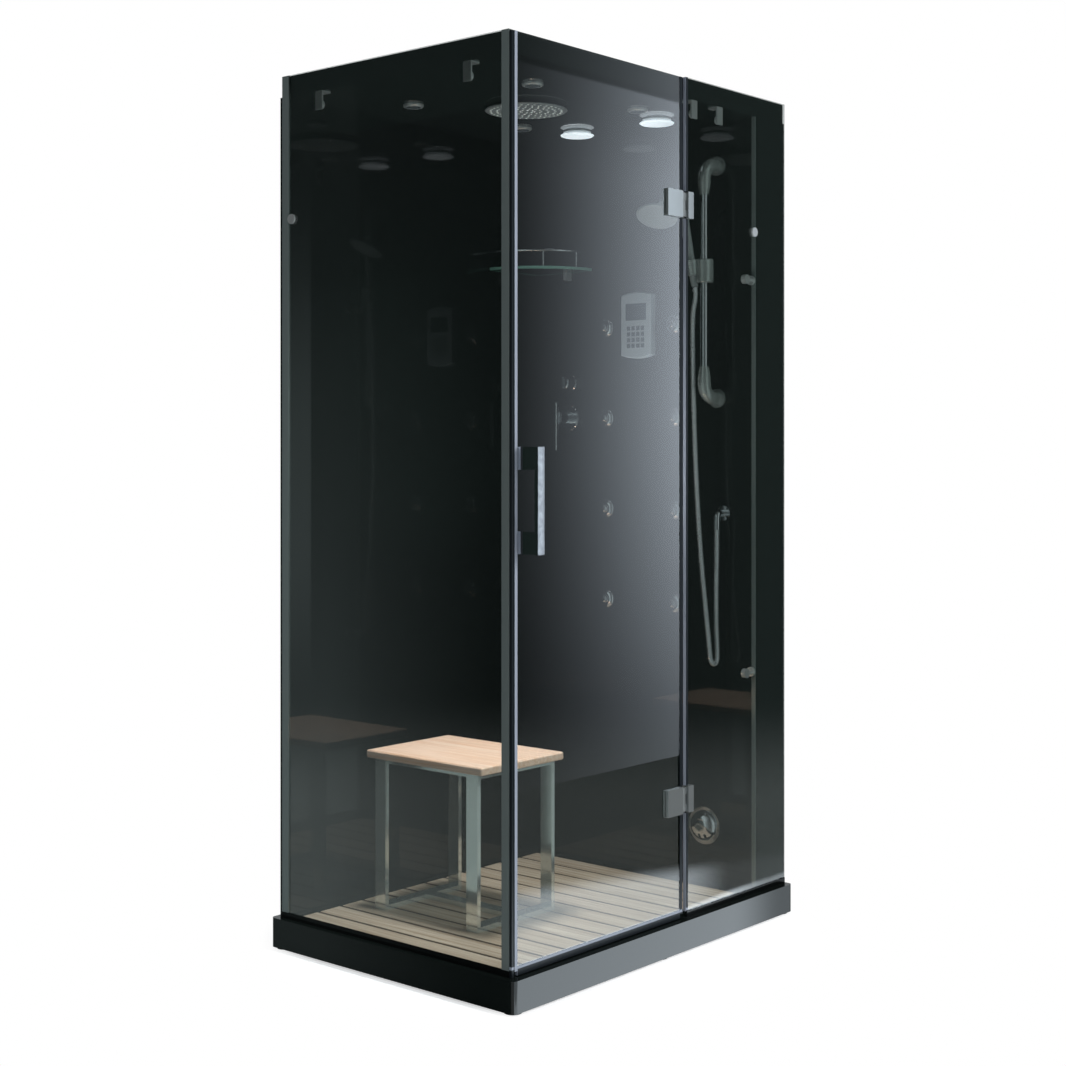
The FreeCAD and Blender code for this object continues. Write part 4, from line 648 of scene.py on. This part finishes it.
# Stainless steel, mirror polished: a touch warmer and softer than chrome, with fine lines along the bar.
STAINLESS = Finish("stainless_mirror_polish", "polished_steel", "#CDCFCF", 0.11, 1.0,
                   pattern=Pattern.BRUSHED, size_mm=0.9, spread=0.5)
# Stainless steel on the stool's flat bars, with a softer polish that takes a little light of its own.
FLAT_BAR = Finish("stainless_soft_polish", "polished_steel", "#DFE5E2", 0.1, 0.84, pattern=Pattern.BRUSHED,
                  size_mm=0.9, spread=0.5)
# Satin nickel on the elbows and the bracket: grey, with broad highlights.
SATIN = Finish("satin_nickel_plate", "satin_grey", "#A2A8A6", 0.24, 0.75, pattern=Pattern.CAST, size_mm=3,
               spread=0.2)
# Satin chrome on the small clamps, ties and rings: broad, pale highlights.
CLAMP = Finish("satin_chrome", "polished_chrome", "#DADDDD", 0.34, 0.85, pattern=Pattern.CAST, size_mm=4,
               spread=0.3)
# Brushed chrome on the hinges, darker than the plated fittings.
HINGE = Finish("brushed_chrome", "polished_chrome", "#8F9495", 0.15, 0.62, pattern=Pattern.BRUSHED,
               size_mm=1.1, spread=0.3)
# Soft chrome on the moulded hand shower and the pressed rain head.
SOFT_CHROME = Finish("soft_chrome", "polished_chrome", "#8F9494", 0.3, 0.6, pattern=Pattern.CAST, size_mm=5,
                     spread=0.2)
# Interlocked chromed strip: the ribs are modelled, so the strip itself is plain.
HOSE = Finish("interlocked_chrome_strip", "metal_hose", "#DDE0E2", 0.2, 0.85, pattern=Pattern.CAST,
              size_mm=6, spread=0.4)
# Anodised aluminium extrusion: grey with die lines up its length.
ALUMINIUM = Finish("anodised_aluminium", "bright_aluminium", "#7C8684", 0.2, 0.5, pattern=Pattern.BRUSHED,
                   size_mm=0.8, spread=0.35)
# The same extrusion round the glass, with its foot channel anodised black.
PROFILE = Split("anodised_aluminium_black_foot", "bright_aluminium", "#7C8684", 0.2, 0.5,
                pattern=Pattern.BRUSHED, size_mm=0.8, spread=0.35, axis=Z, plane=0.0905, below="#0D1010")
# Extruded soft PVC: a dull bluish grey where it is milky, and painted near-black shade elsewhere.
SEAL = Seal("extruded_soft_vinyl", "clear_seal", "#8E95A2", 0.38, ior=1.3, pattern=Pattern.BRUSHED,
            size_mm=1.2, spread=0.2)
# Oiled hardwood: the seat is one pale board, so its pitch is wider than it is; the duckboard is greyer from
# water.
TEAK = Timber("oiled_hardwood", "teak", "#F7CDB0", 0.42, pitch_mm=1000, light="#FFE2CF", dark="#E9B896")
# the duckboard's slats carry painted shade along their gaps
DECK = Timber("oiled_hardwood_slats", "teak", "#B5A18A", 0.42, pitch_mm=76.08, seam_shade_mm=4.2,
              light="#C8B8A5", dark="#96806A")
# Painted housing of the control panel, with the faint texture of a sprayed coat.
HOUSING = Finish("painted_housing", "satin_grey", "#868C90", 0.4, 0.1, pattern=Pattern.CAST, size_mm=0.8,
                 spread=0.2, relief_mm=0.01)
# Display window, switched off: dark behind a glossy face.
SCREEN = Finish("display_window", "screen", "#101A22", 0.08, coat=0.6, pattern=Pattern.MOULDED, size_mm=60)
# Polyester film, pale, with its embossed pads printed darker.
KEYS = Split("embossed_polyester_film", "keypad", "#868C90", 0.42, pattern=Pattern.CAST, size_mm=0.8,
             spread=0.2, axis=X, plane=0.4035, below="#2E3338")
# Domed lens over a grey reflector.
LENS = Finish("lamp_lens", "opal", "#4B5154", 0.1, coat=0.8, pattern=Pattern.MOULDED, size_mm=20)
# Opal discs in the ceiling, lit a little from behind.
OPAL = Glow("opal_acrylic", "opal", "#E9EEF2", 0.3, pattern=Pattern.CAST, size_mm=2.0, spread=0.2)
# Pale silicone nozzles.
SILICONE = Finish("pale_silicone", "rubber", "#F0F2EF", 0.5, pattern=Pattern.CAST, size_mm=1.0, spread=0.2)
# Galvanised tube under the tray, with its blotchy bloom.
ZINC = Finish("galvanised_steel", "galvanised", "#8C9194", 0.42, 0.85, pattern=Pattern.CAST, size_mm=12,
              spread=0.35, relief_mm=0.02)
# Moulded ABS, with the fine grain of the mould.
DARK_PLASTIC = Finish("moulded_abs_dark", "dark_plastic", "#17191A", 0.45, pattern=Pattern.CAST,
                      size_mm=1.0, spread=0.2, relief_mm=0.02)
WHITE_PLASTIC = Finish("moulded_abs_white", "white_plastic", "#D8D8D2", 0.42, pattern=Pattern.CAST,
                       size_mm=1.0, spread=0.2, relief_mm=0.02)
# Drawn copper, dulled in patches by handling.
COPPER = Finish("drawn_copper_pipe", "copper", "#B4714E", 0.28, 1.0, pattern=Pattern.CAST, size_mm=18,
                spread=0.5)
# Brass as it is cast, left rough behind the wall.
BRASS = Finish("cast_brass", "brass", "#B5935A", 0.36, 1.0, pattern=Pattern.CAST, size_mm=2.5, spread=0.3,
               relief_mm=0.05)
# Black rubber on the feet.
RUBBER = Finish("black_rubber", "rubber", "#0E0E0E", 0.7, pattern=Pattern.CAST, size_mm=1.5, spread=0.15,
                relief_mm=0.03)


@dataclass
class Cabin:
    """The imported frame, with what its classes share."""

    frame: dict

    def dress(self, finish: Finish, *nodes: str) -> None:
        """Gives CAD nodes a finish.

        Args:
            finish: the finish.
            nodes: the names of the nodes.
        """
        for name in nodes:
            obj = self.frame["nodes"][name]
            if not obj.material_slots:
                obj.data.materials.append(finish.material())
            for slot in obj.material_slots:
                slot.material = finish.material()

    def fit(self, obj: bpy.types.Object, finish: Finish, body: str) -> None:
        """Gives a new piece its finish and lets it ride with a body.

        Args:
            obj: the piece, at the origin.
            finish: its finish.
            body: the name of the body.
        """
        obj.data.materials.clear()
        obj.data.materials.append(finish.material())
        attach(obj, body)
        LOG.info("%s on %s: %d faces", obj.name, body, len(obj.data.polygons))


# ---------------------------------------------------------------- the cabin's parts
@dataclass
class Base:
    """Tray, its frame and feet, drain, walls, column and roof."""

    cabin: Cabin

    def build(self) -> None:
        """Dresses the base and the walls."""
        dress = self.cabin.dress
        dress(ACRYLIC, "shower_tray", "service_cover", "roof_shell")
        dress(PANEL, "back_wall", "right_wall")
        dress(ZINC, "tray_frame")
        dress(RUBBER, "levelling_feet")
        dress(DARK_PLASTIC, "drain_waste")
        dress(STAINLESS, "drain_cover", "steam_generator")
        dress(ALUMINIUM, "service_posts")
        dress(COPPER, "service_pipework")


@dataclass
class Enclosure:
    """Fixed glass, door, hinges, profiles, seals and clamps."""

    cabin: Cabin

    def build(self) -> None:
        """Dresses the glass and its metalwork."""
        dress = self.cabin.dress
        dress(FLOAT_GLASS, "left_glass", "fixed_front_glass", "door_glass")
        dress(PROFILE, "glass_profiles")
        dress(SEAL, "fixed_seals", "door_seals")
        dress(CLAMP, "glass_clamps")
        dress(HINGE, "hinge_fixed_leaves", "hinge_door_leaves")
        dress(CHROME, "door_handle")
        dress(STAINLESS, "hinge_pins")


@dataclass
class Fittings:
    """Mixer, diverter, jets, steam outlet and control panel."""

    cabin: Cabin

    def build(self) -> None:
        """Dresses the fittings on the wall."""
        dress = self.cabin.dress
        dress(CHROME, "steam_outlet", "mixer_plates", "mixer_lever", "diverter_knob", "jet_flanges",
              *[f"jet_nozzle_{i}" for i in range(1, 9)])
        dress(BRASS, "mixer_valves")
        dress(HOUSING, "panel_housing")
        dress(SCREEN, "panel_screen")
        dress(KEYS, "panel_keypad")


def spline_points(name: str, route: Sequence[Point]) -> list[Vector]:
    """Reads points from the smooth spline that a route's control points draw.

    Args:
        name: a name for the curve, which is deleted again.
        route: its control points.

    Returns:
        Points along the spline, in order.
    """
    curve = bpy.data.curves.new(name, "CURVE")
    curve.dimensions = "3D"
    curve.resolution_u = 24
    spline = curve.splines.new("NURBS")
    spline.points.add(len(route) - 1)
    for point, place in zip(spline.points, route):
        point.co = (*place, 1.0)
    spline.order_u = 3
    spline.use_endpoint_u = True
    obj = bpy.data.objects.new(name, curve)
    bpy.context.collection.objects.link(obj)
    bpy.context.view_layer.update()
    mesh = bpy.data.meshes.new_from_object(obj)
    points = [v.co.copy() for v in mesh.vertices]
    bpy.data.objects.remove(obj)
    bpy.data.curves.remove(curve)
    bpy.data.meshes.remove(mesh)
    return points


def even_points(points: Sequence[Vector], pitch: float) -> list[Vector]:
    """Spaces points evenly along a line.

    Args:
        points: the line.
        pitch: the wanted distance between points.

    Returns:
        The new points, from the first to the last.
    """
    reach = [0.0]
    for before, after in zip(points, points[1:]):
        reach.append(reach[-1] + (after - before).length)
    count = max(2, round(reach[-1] / pitch))
    made, i = [], 0
    for k in range(count + 1):
        want = reach[-1] * k / count
        while i < len(points) - 2 and reach[i + 1] < want:
            i += 1
        span = reach[i + 1] - reach[i]
        made.append(points[i].lerp(points[i + 1], 0 if span == 0 else (want - reach[i]) / span))
    return made


@dataclass
class RiserRail:
    """Riser bar, elbows, sliding bracket, hand shower and its ribbed hose.

    Outside and inside are the hose's radii on a rib and in a groove, rib is the length of one rib with its
    groove, in so many rings of so many sides, and edges turn sharp from the crease's degrees on.
    """

    cabin: Cabin
    outside: float = 0.007
    inside: float = 0.0052
    rib: float = 0.0057
    rings: int = 3
    sides: int = 14
    crease: float = 25.0
    lower: tuple[Point, ...] = (
        (0.388, -0.272, 1.020), (0.388, -0.272, 0.950), (0.389, -0.269, 0.855), (0.3905, -0.268, 0.775),
        (0.3915, -0.2695, 0.724), (0.391, -0.271, 0.699), (0.390, -0.272, 0.677), (0.3812, -0.2726, 0.668),
        (0.3688, -0.2726, 0.668), (0.360, -0.2716, 0.677), (0.3588, -0.2695, 0.699), (0.3594, -0.265, 0.738),
        (0.360, -0.256, 0.810), (0.3595, -0.243, 0.925), (0.358, -0.232, 1.070), (0.3555, -0.225, 1.235),
        (0.352, -0.2216, 1.400), (0.3486, -0.2226, 1.540))
    upper: tuple[Point, ...] = (
        (0.3486, -0.2226, 1.540), (0.3474, -0.223, 1.590), (0.3504, -0.2327, 1.6336),
        (0.347, -0.2307, 1.6583))

    def build(self) -> None:
        """Dresses the rail and models the hose."""
        dress = self.cabin.dress
        dress(CHROME, "riser_bar", "hose_outlet")
        dress(SOFT_CHROME, "hand_shower")
        dress(SATIN, "riser_elbows", "slide_bracket")
        # each stretch of hose, the node it stands for, and the two bodies for its ends and two heights
        for name, node, route, bodies, span in (
                ("ribbed_hose_lower", "shower_hose_lower", self.lower, ("cabin", "bracket"), (1.07, 1.54)),
                ("ribbed_hose_upper", "shower_hose_upper", self.upper, ("bracket", "hand_shower"),
                 (1.54, 1.66))):
            line = spline_points(name, route)
            obj = self.ribbed(name, line)
            obj.data.materials.append(HOSE.material())
            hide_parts(node)
            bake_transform(obj)

    def ribbed(self, name: str, line: Sequence[Vector]) -> bpy.types.Object:
        """Models an interlocked hose: a tube whose radius steps in and out at every strip.

        Args:
            name: the name of the piece.
            line: the points of its centre line.

        Returns:
            The hose.
        """
        points = even_points(line, self.rib / self.rings)
        mesh = bmesh.new()
        rings: list[list[bmesh.types.BMVert]] = []
        across = Vector((0, 1, 0))
        for i, point in enumerate(points):
            ahead = (points[min(i + 1, len(points) - 1)] - points[max(i - 1, 0)]).normalized()
            across = (across - ahead * across.dot(ahead)).normalized()
            other = ahead.cross(across)
            radius = self.inside if i % self.rings == 0 else self.outside
            rings.append([mesh.verts.new(point + (across * math.cos(a) + other * math.sin(a)) * radius)
                          for a in (2 * math.pi * k / self.sides for k in range(self.sides))])
        for first, second in zip(rings, rings[1:]):
            for k in range(self.sides):
                after = (k + 1) % self.sides
                mesh.faces.new((first[k], first[after], second[after], second[k]))
        mesh.faces.new(list(reversed(rings[0])))
        mesh.faces.new(rings[-1])
        mesh.normal_update()
        data = bpy.data.meshes.new(name)
        mesh.to_mesh(data)
        mesh.free()
        obj = bpy.data.objects.new(name, data)
        bpy.context.collection.objects.link(obj)
        smooth(obj, self.crease)
        return obj


@dataclass
class Ceiling:
    """Rain head with its nozzles, spot lamps, discs and the fan.

    The nozzles stand in rings, each with its radius and its number. A nozzle is a low skirt with a tip on it,
    each with its radius and how far it stands out.
    """

    cabin: Cabin
    skirt: tuple[float, float] = (0.0030, 0.0006)
    tip: tuple[float, float] = (0.00186, 0.0016)
    nozzle_sides: int = 8
    rings: tuple[tuple[float, int], ...] = ((0.018, 8), (0.036, 14), (0.054, 20), (0.072, 28), (0.088, 34))

    def build(self) -> None:
        """Dresses the ceiling pieces and models the rain nozzles."""
        dress = self.cabin.dress
        dress(SOFT_CHROME, "rain_head")
        dress(CLAMP, "spot_rings", "ceiling_collars")
        dress(LENS, "spot_lenses")
        dress(OPAL, "ceiling_discs")
        dress(WHITE_PLASTIC, "fan_housing")
        dress(DARK_PLASTIC, "fan_rotor")
        low, high = (Vector(v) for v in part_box("rain_head"))
        x, y, z = (low.x + high.x) / 2, (low.y + high.y) / 2, low.z
        pieces = []
        for radius, count in self.rings:
            for k in range(count):
                angle = 2 * math.pi * k / count
                at = (x + radius * math.cos(angle), y + radius * math.sin(angle), z)
                pieces.append(stepped_disc("nozzle", at, (0, 0, -1), (self.skirt, self.tip),
                                           self.nozzle_sides))
        self.cabin.fit(join("rain_nozzles", pieces), SILICONE, "cabin")


@dataclass
class Furniture:
    """Corner shelf, duckboard and stool."""

    cabin: Cabin

    def build(self) -> None:
        """Dresses the shelf, the duckboard and the stool."""
        dress = self.cabin.dress
        dress(SHELF_GLASS, "shelf_glass")
        dress(CHROME, "shelf_rail")
        dress(CLAMP, "shelf_brackets")
        dress(TEAK, "stool_seat")
        dress(DECK, "duckboard")
        dress(FLAT_BAR, "stool_frame")


# ---------------------------------------------------------------- studio
@dataclass(frozen=True)
class Lamp:
    """A square soft lamp: where it hangs, what it points at, its side, its watts and its cone in degrees."""

    name: str
    place: Point
    target: Point
    size: float
    power: float
    cone: float


@dataclass(frozen=True)
class Fade:
    """How the light of a card changes along an axis: low up to the start, high from the end on."""

    axis: int
    start: float
    end: float
    low: float = 0.0
    high: float = 1.0
    soft: bool = True
    power: float = 1.0
    # how far its lines come down for each metre to the right
    slope: float = 0.0

    def share(self, tree: Tree, parts: Sequence[Socket]) -> Socket:
        """Gives the fade at each place of the card.

        Args:
            tree: the card's node tree.
            parts: the place's X, Y and Z.

        Returns:
            The share of light that it lets through.
        """
        value = parts[self.axis]
        if self.slope:
            value = calc(tree, "MULTIPLY_ADD", parts[X], self.slope, value)
        share = ramp(tree, value, self.start, self.end, self.low, self.high, self.soft)
        return share if self.power == 1.0 else calc(tree, "POWER", share, self.power)


@dataclass(frozen=True)
class Card:
    """An upright card that only first mirror images show.

    It reaches from its lowest to its highest corner and has no depth along X or along Y. Its light is in
    patches, each with a strength and its fades, and the overlay says how patches meet.
    """

    name: str
    low: Point
    high: Point
    colour: str
    patches: tuple[tuple[float, tuple[Fade, ...]], ...]
    overlay: str = "ADD"

    def glow(self, tree: Tree) -> Socket:
        """Gives the strength of the card's light.

        Args:
            tree: the card's node tree.

        Returns:
            The strength at each place.
        """
        parts = place_parts(tree)
        lit = [times(tree, *[fade.share(tree, parts) for fade in fades], strength)
               for strength, fades in self.patches]
        total = lit[0]
        for other in lit[1:]:
            total = calc(tree, self.overlay, total, other)
        return total


CARDS = (
    Card("door_card", (0.905, -1.66, 0.09), (1.885, -1.66, 2.73), "#D3DEEA", (
        # brightest at the right, fading left and down, dimmer past the ceiling and the roof's fascia; its
        # left edge is where the door's mirror image ends
        (3.7, (Fade(X, 0.93, 1.885, 0.22, 1.0, soft=False, power=2.1), Fade(Z, -0.25, 1.5, 0.16, 1.0),
               Fade(Z, 2.15, 2.50, 1.0, 0.78), Fade(Z, 2.515, 2.53, 1.0, 0.42), Fade(X, 0.936, 0.945))),
        # a bright strip that only the handle mirrors
        (2.7, (Fade(X, 0.907, 0.911), Fade(X, 0.932, 0.928))))),
    Card("side_card", (-1.9, 0.83, -0.60), (-1.9, 1.98, 2.35), "#D3E6E6", (
        # dim, paler low down and towards the back
        (1.0, (Fade(Y, 0.90, 1.70, soft=False, power=1.3), Fade(Z, 1.85, -0.05, 0.02, 0.32, soft=False))),
        # a paler band at the back edge
        (0.19, (Fade(Y, 1.785, 1.795), Fade(Z, 2.30, 1.20), Fade(Z, 0.25, 0.95))))),
    Card("tray_card", (-0.9, -0.9, -0.42), (1.45, -0.9, 0.06), "#DDE8F0", (
        # even low down for the tray's front, dark at its far end
        (5.2, (Fade(X, 1.30, 1.00, 0.35, 1.0), Fade(Z, -0.125, -0.145))),
        # above that a haze that the door mirrors, whose upper edge slopes down by one in ten
        (2.6, (Fade(Z, 0.082, 0.032, slope=0.1), Fade(X, 1.08, 0.80, 0.06, 1.0)))), overlay="MAXIMUM"),
)


@dataclass
class Studio:
    """Camera, white surround, floor, lamps, and the cards that only reflections show."""

    eye: Point = (-3.3467, -2.8552, 1.2291)
    heading: float = -49.24
    lens: float = 57.94
    sensor: float = 36.0
    depth: float = 100.0
    shift: tuple[float, float] = (0.0004, -0.0779)
    # the level line that both panes mirror to the eye, and how close to it the world is dark
    pane_line: Point = (0.7526, -0.6585, 0.0)
    pane_reach: tuple[float, float] = (0.90, 0.72)
    # the world in mirrors, for what is seen from outside and from inside the glass: along that line, below
    # it from a little under the horizon, and elsewhere as a room
    line_colours: tuple[Colour, Colour] = ((0.012, 0.019, 0.017, 1), (0.05, 0.06, 0.06, 1))
    ground_colours: tuple[Colour, Colour] = ((0.006, 0.008, 0.008, 1), (0.37, 0.40, 0.395, 1))
    room_colours: tuple[Colour, Colour] = ((0.55, 0.58, 0.60, 1), (0.54, 0.57, 0.57, 1))
    # a room mirrored in round bars: dark in the middle, pale towards their sides
    room_fade: tuple[float, float, float, float] = (0.15, 0.60, 0.12, 1.0)
    horizon: tuple[float, float] = (-0.14, -0.20)
    daylight: str = "#B4B8BC"
    floor_radius: float = 12.0
    floor_gap: float = 0.0005
    floor_colour: str = "#EDEDED"
    # what the floor adds where the eye sees it, so that it is close to white round the shadow
    floor_light: float = 0.5
    # where the floor's own shade gives way to white, from the middle of the cabin
    floor_fade: tuple[float, float] = (0.60, 0.72)
    lamps: tuple[Lamp, ...] = (
        Lamp("front", (0.6, -3.6, 2.2), (0.0, 0.0, 0.5), 1.8, 95.0, 180.0),
        Lamp("inside", (-0.20, 0.05, 2.06), (-0.20, 0.0, 0.0), 0.30, 7.0, 84.0),
        Lamp("upward", (-0.05, 0.0, 0.75), (-0.05, 0.0, 2.1), 0.35, 5.5, 120.0),
    )

    def build(self) -> None:
        """Sets the camera, the surround, the floor, the cards and the lamps."""
        self.camera()
        self.surround()
        self.floor()
        for card in CARDS:
            self.stand(card)
        for lamp in self.lamps:
            self.hang(lamp)

    def camera(self) -> None:
        """Sets the eye that looks level, with the view shifted down to take in the whole cabin."""
        data = bpy.data.cameras.new("camera")
        data.lens, data.sensor_width = self.lens, self.sensor
        data.shift_x, data.shift_y = self.shift
        data.clip_end = self.depth
        camera = bpy.data.objects.new("camera", data)
        camera.location = self.eye
        camera.rotation_euler = (math.radians(90), 0, math.radians(self.heading))
        bpy.context.collection.objects.link(camera)
        bpy.context.scene.camera = camera
        bpy.context.scene.view_settings.view_transform = "Standard"

    def hang(self, lamp: Lamp) -> None:
        """Hangs a lamp that neither the eye, mirrors nor glass show.

        Args:
            lamp: the lamp.
        """
        light = bpy.data.lights.new(lamp.name, "AREA")
        light.shape, light.size, light.energy = "SQUARE", lamp.size, lamp.power
        light.spread = math.radians(lamp.cone)
        obj = bpy.data.objects.new(lamp.name, light)
        obj.location = lamp.place
        obj.rotation_euler = (Vector(lamp.target) - Vector(lamp.place)).to_track_quat("-Z", "Y").to_euler()
        obj.visible_glossy = obj.visible_camera = obj.visible_transmission = False
        bpy.context.collection.objects.link(obj)

    def seen_straight(self, tree: Tree) -> Socket:
        """Gives one for what the eye sees straight or through clear glass, and nought for any bounce.

        Args:
            tree: the node tree that asks.

        Returns:
            The socket.
        """
        path = add(tree, "LightPath").outputs
        bounces = calc(tree, "ADD", path["Diffuse Depth"], path["Glossy Depth"])
        return calc(tree, "LESS_THAN", bounces, NO_BOUNCE)

    def surround(self) -> None:
        """White where the eye sees it and soft grey as light; in mirrors dark along the panes' line."""
        world = bpy.data.worlds.new("surround")
        bpy.context.scene.world = world
        tree = blank_tree(world)
        place = add(tree, "TexCoord").outputs["Generated"]
        along = add(tree, "VectorMath", {"operation": "DOT_PRODUCT", 1: self.pane_line}, i0=place)
        either = calc(tree, "ABSOLUTE", along.outputs["Value"])
        path = add(tree, "LightPath").outputs
        inside = calc(tree, "MINIMUM", path["Transmission Depth"], 1.0)
        down = ramp(tree, add(tree, "SeparateXYZ", i0=place).outputs[Z], *self.horizon)
        dark = mix(tree, down, mix(tree, inside, *self.line_colours), mix(tree, inside, *self.ground_colours))
        outside_room, inside_room = self.room_colours
        room = mix(tree, ramp(tree, either, *self.room_fade), BLACK, inside_room)
        bright = mix(tree, inside, outside_room, room)
        mirrored = mix(tree, ramp(tree, either, *self.pane_reach), dark, bright)
        lit = mix(tree, path["Is Glossy Ray"], linear(self.daylight), mirrored)
        shown = mix(tree, self.seen_straight(tree), lit, WHITE)
        back = add(tree, "Background", {"Strength": 1.0}, Color=shown)
        add(tree, "OutputWorld", Surface=back.outputs[0])

    def floor(self) -> None:
        """A pale floor that keeps the cabin's shadow close by, fades to white, and stays out of mirrors."""
        deselect()
        bpy.ops.mesh.primitive_circle_add(vertices=64, radius=self.floor_radius, fill_type="NGON",
                                          location=(0, 0, -self.floor_gap))
        obj = bpy.context.object
        obj.name = "studio_floor"
        settle(obj)
        made = bpy.data.materials.new("floor_paint")
        tree = blank_tree(made)
        paint = add(tree, "BsdfDiffuse", {"Color": linear(self.floor_colour)}).outputs[0]
        light = add(tree, "Emission", {"Color": WHITE, "Strength": self.floor_light}).outputs[0]
        white = add(tree, "Emission", {"Color": WHITE, "Strength": 1.0}).outputs[0]
        place = add(tree, "TexCoord").outputs["Object"]
        far = add(tree, "VectorMath", {"operation": "LENGTH"}, i0=place).outputs["Value"]
        near = wire(tree, "MixShader", ramp(tree, far, *self.floor_fade),
                    wire(tree, "AddShader", paint, light), white)
        shown = wire(tree, "MixShader", self.seen_straight(tree), paint, near)
        add(tree, "OutputMaterial", Surface=shown)
        obj.data.materials.append(made)
        obj.visible_glossy = obj.visible_transmission = False

    def stand(self, card: Card) -> None:
        """Stands up a card.

        Args:
            card: the card.
        """
        low, high = Vector(card.low), Vector(card.high)
        size = high - low
        deselect()
        turn = (math.radians(90), 0, math.radians(90) if size.x < SAME else 0)
        bpy.ops.mesh.primitive_plane_add(size=1.0, location=(low + high) / 2, rotation=turn)
        obj = bpy.context.object
        obj.name = card.name
        obj.scale = (max(size.x, size.y), size.z, 1)
        bpy.context.view_layer.update()
        settle(obj)
        made = bpy.data.materials.new(f"{card.name}_glow")
        tree = blank_tree(made)
        lit = add(tree, "Emission", {"Color": linear(card.colour)}, Strength=card.glow(tree)).outputs[0]
        clear = add(tree, "BsdfTransparent").outputs[0]
        path = add(tree, "LightPath").outputs
        first = calc(tree, "LESS_THAN", path["Transmission Depth"], NO_BOUNCE)
        mirrored = calc(tree, "MULTIPLY", path["Is Glossy Ray"], first)
        add(tree, "OutputMaterial", Surface=wire(tree, "MixShader", mirrored, clear, lit))
        obj.data.materials.append(made)
        obj.visible_camera = obj.visible_diffuse = obj.visible_shadow = False


def main() -> None:
    """Builds the studio and dresses the cabin."""
    logging.basicConfig(level=logging.INFO, format="%(message)s")
    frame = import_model()
    cabin = Cabin(frame)
    Studio().build()
    for part in (RiserRail(cabin), Base(cabin), Enclosure(cabin), Fittings(cabin), Ceiling(cabin),
                 Furniture(cabin)):
        part.build()
        LOG.info("dressed %s", type(part).__name__)


if __name__ == "__main__":
    main()
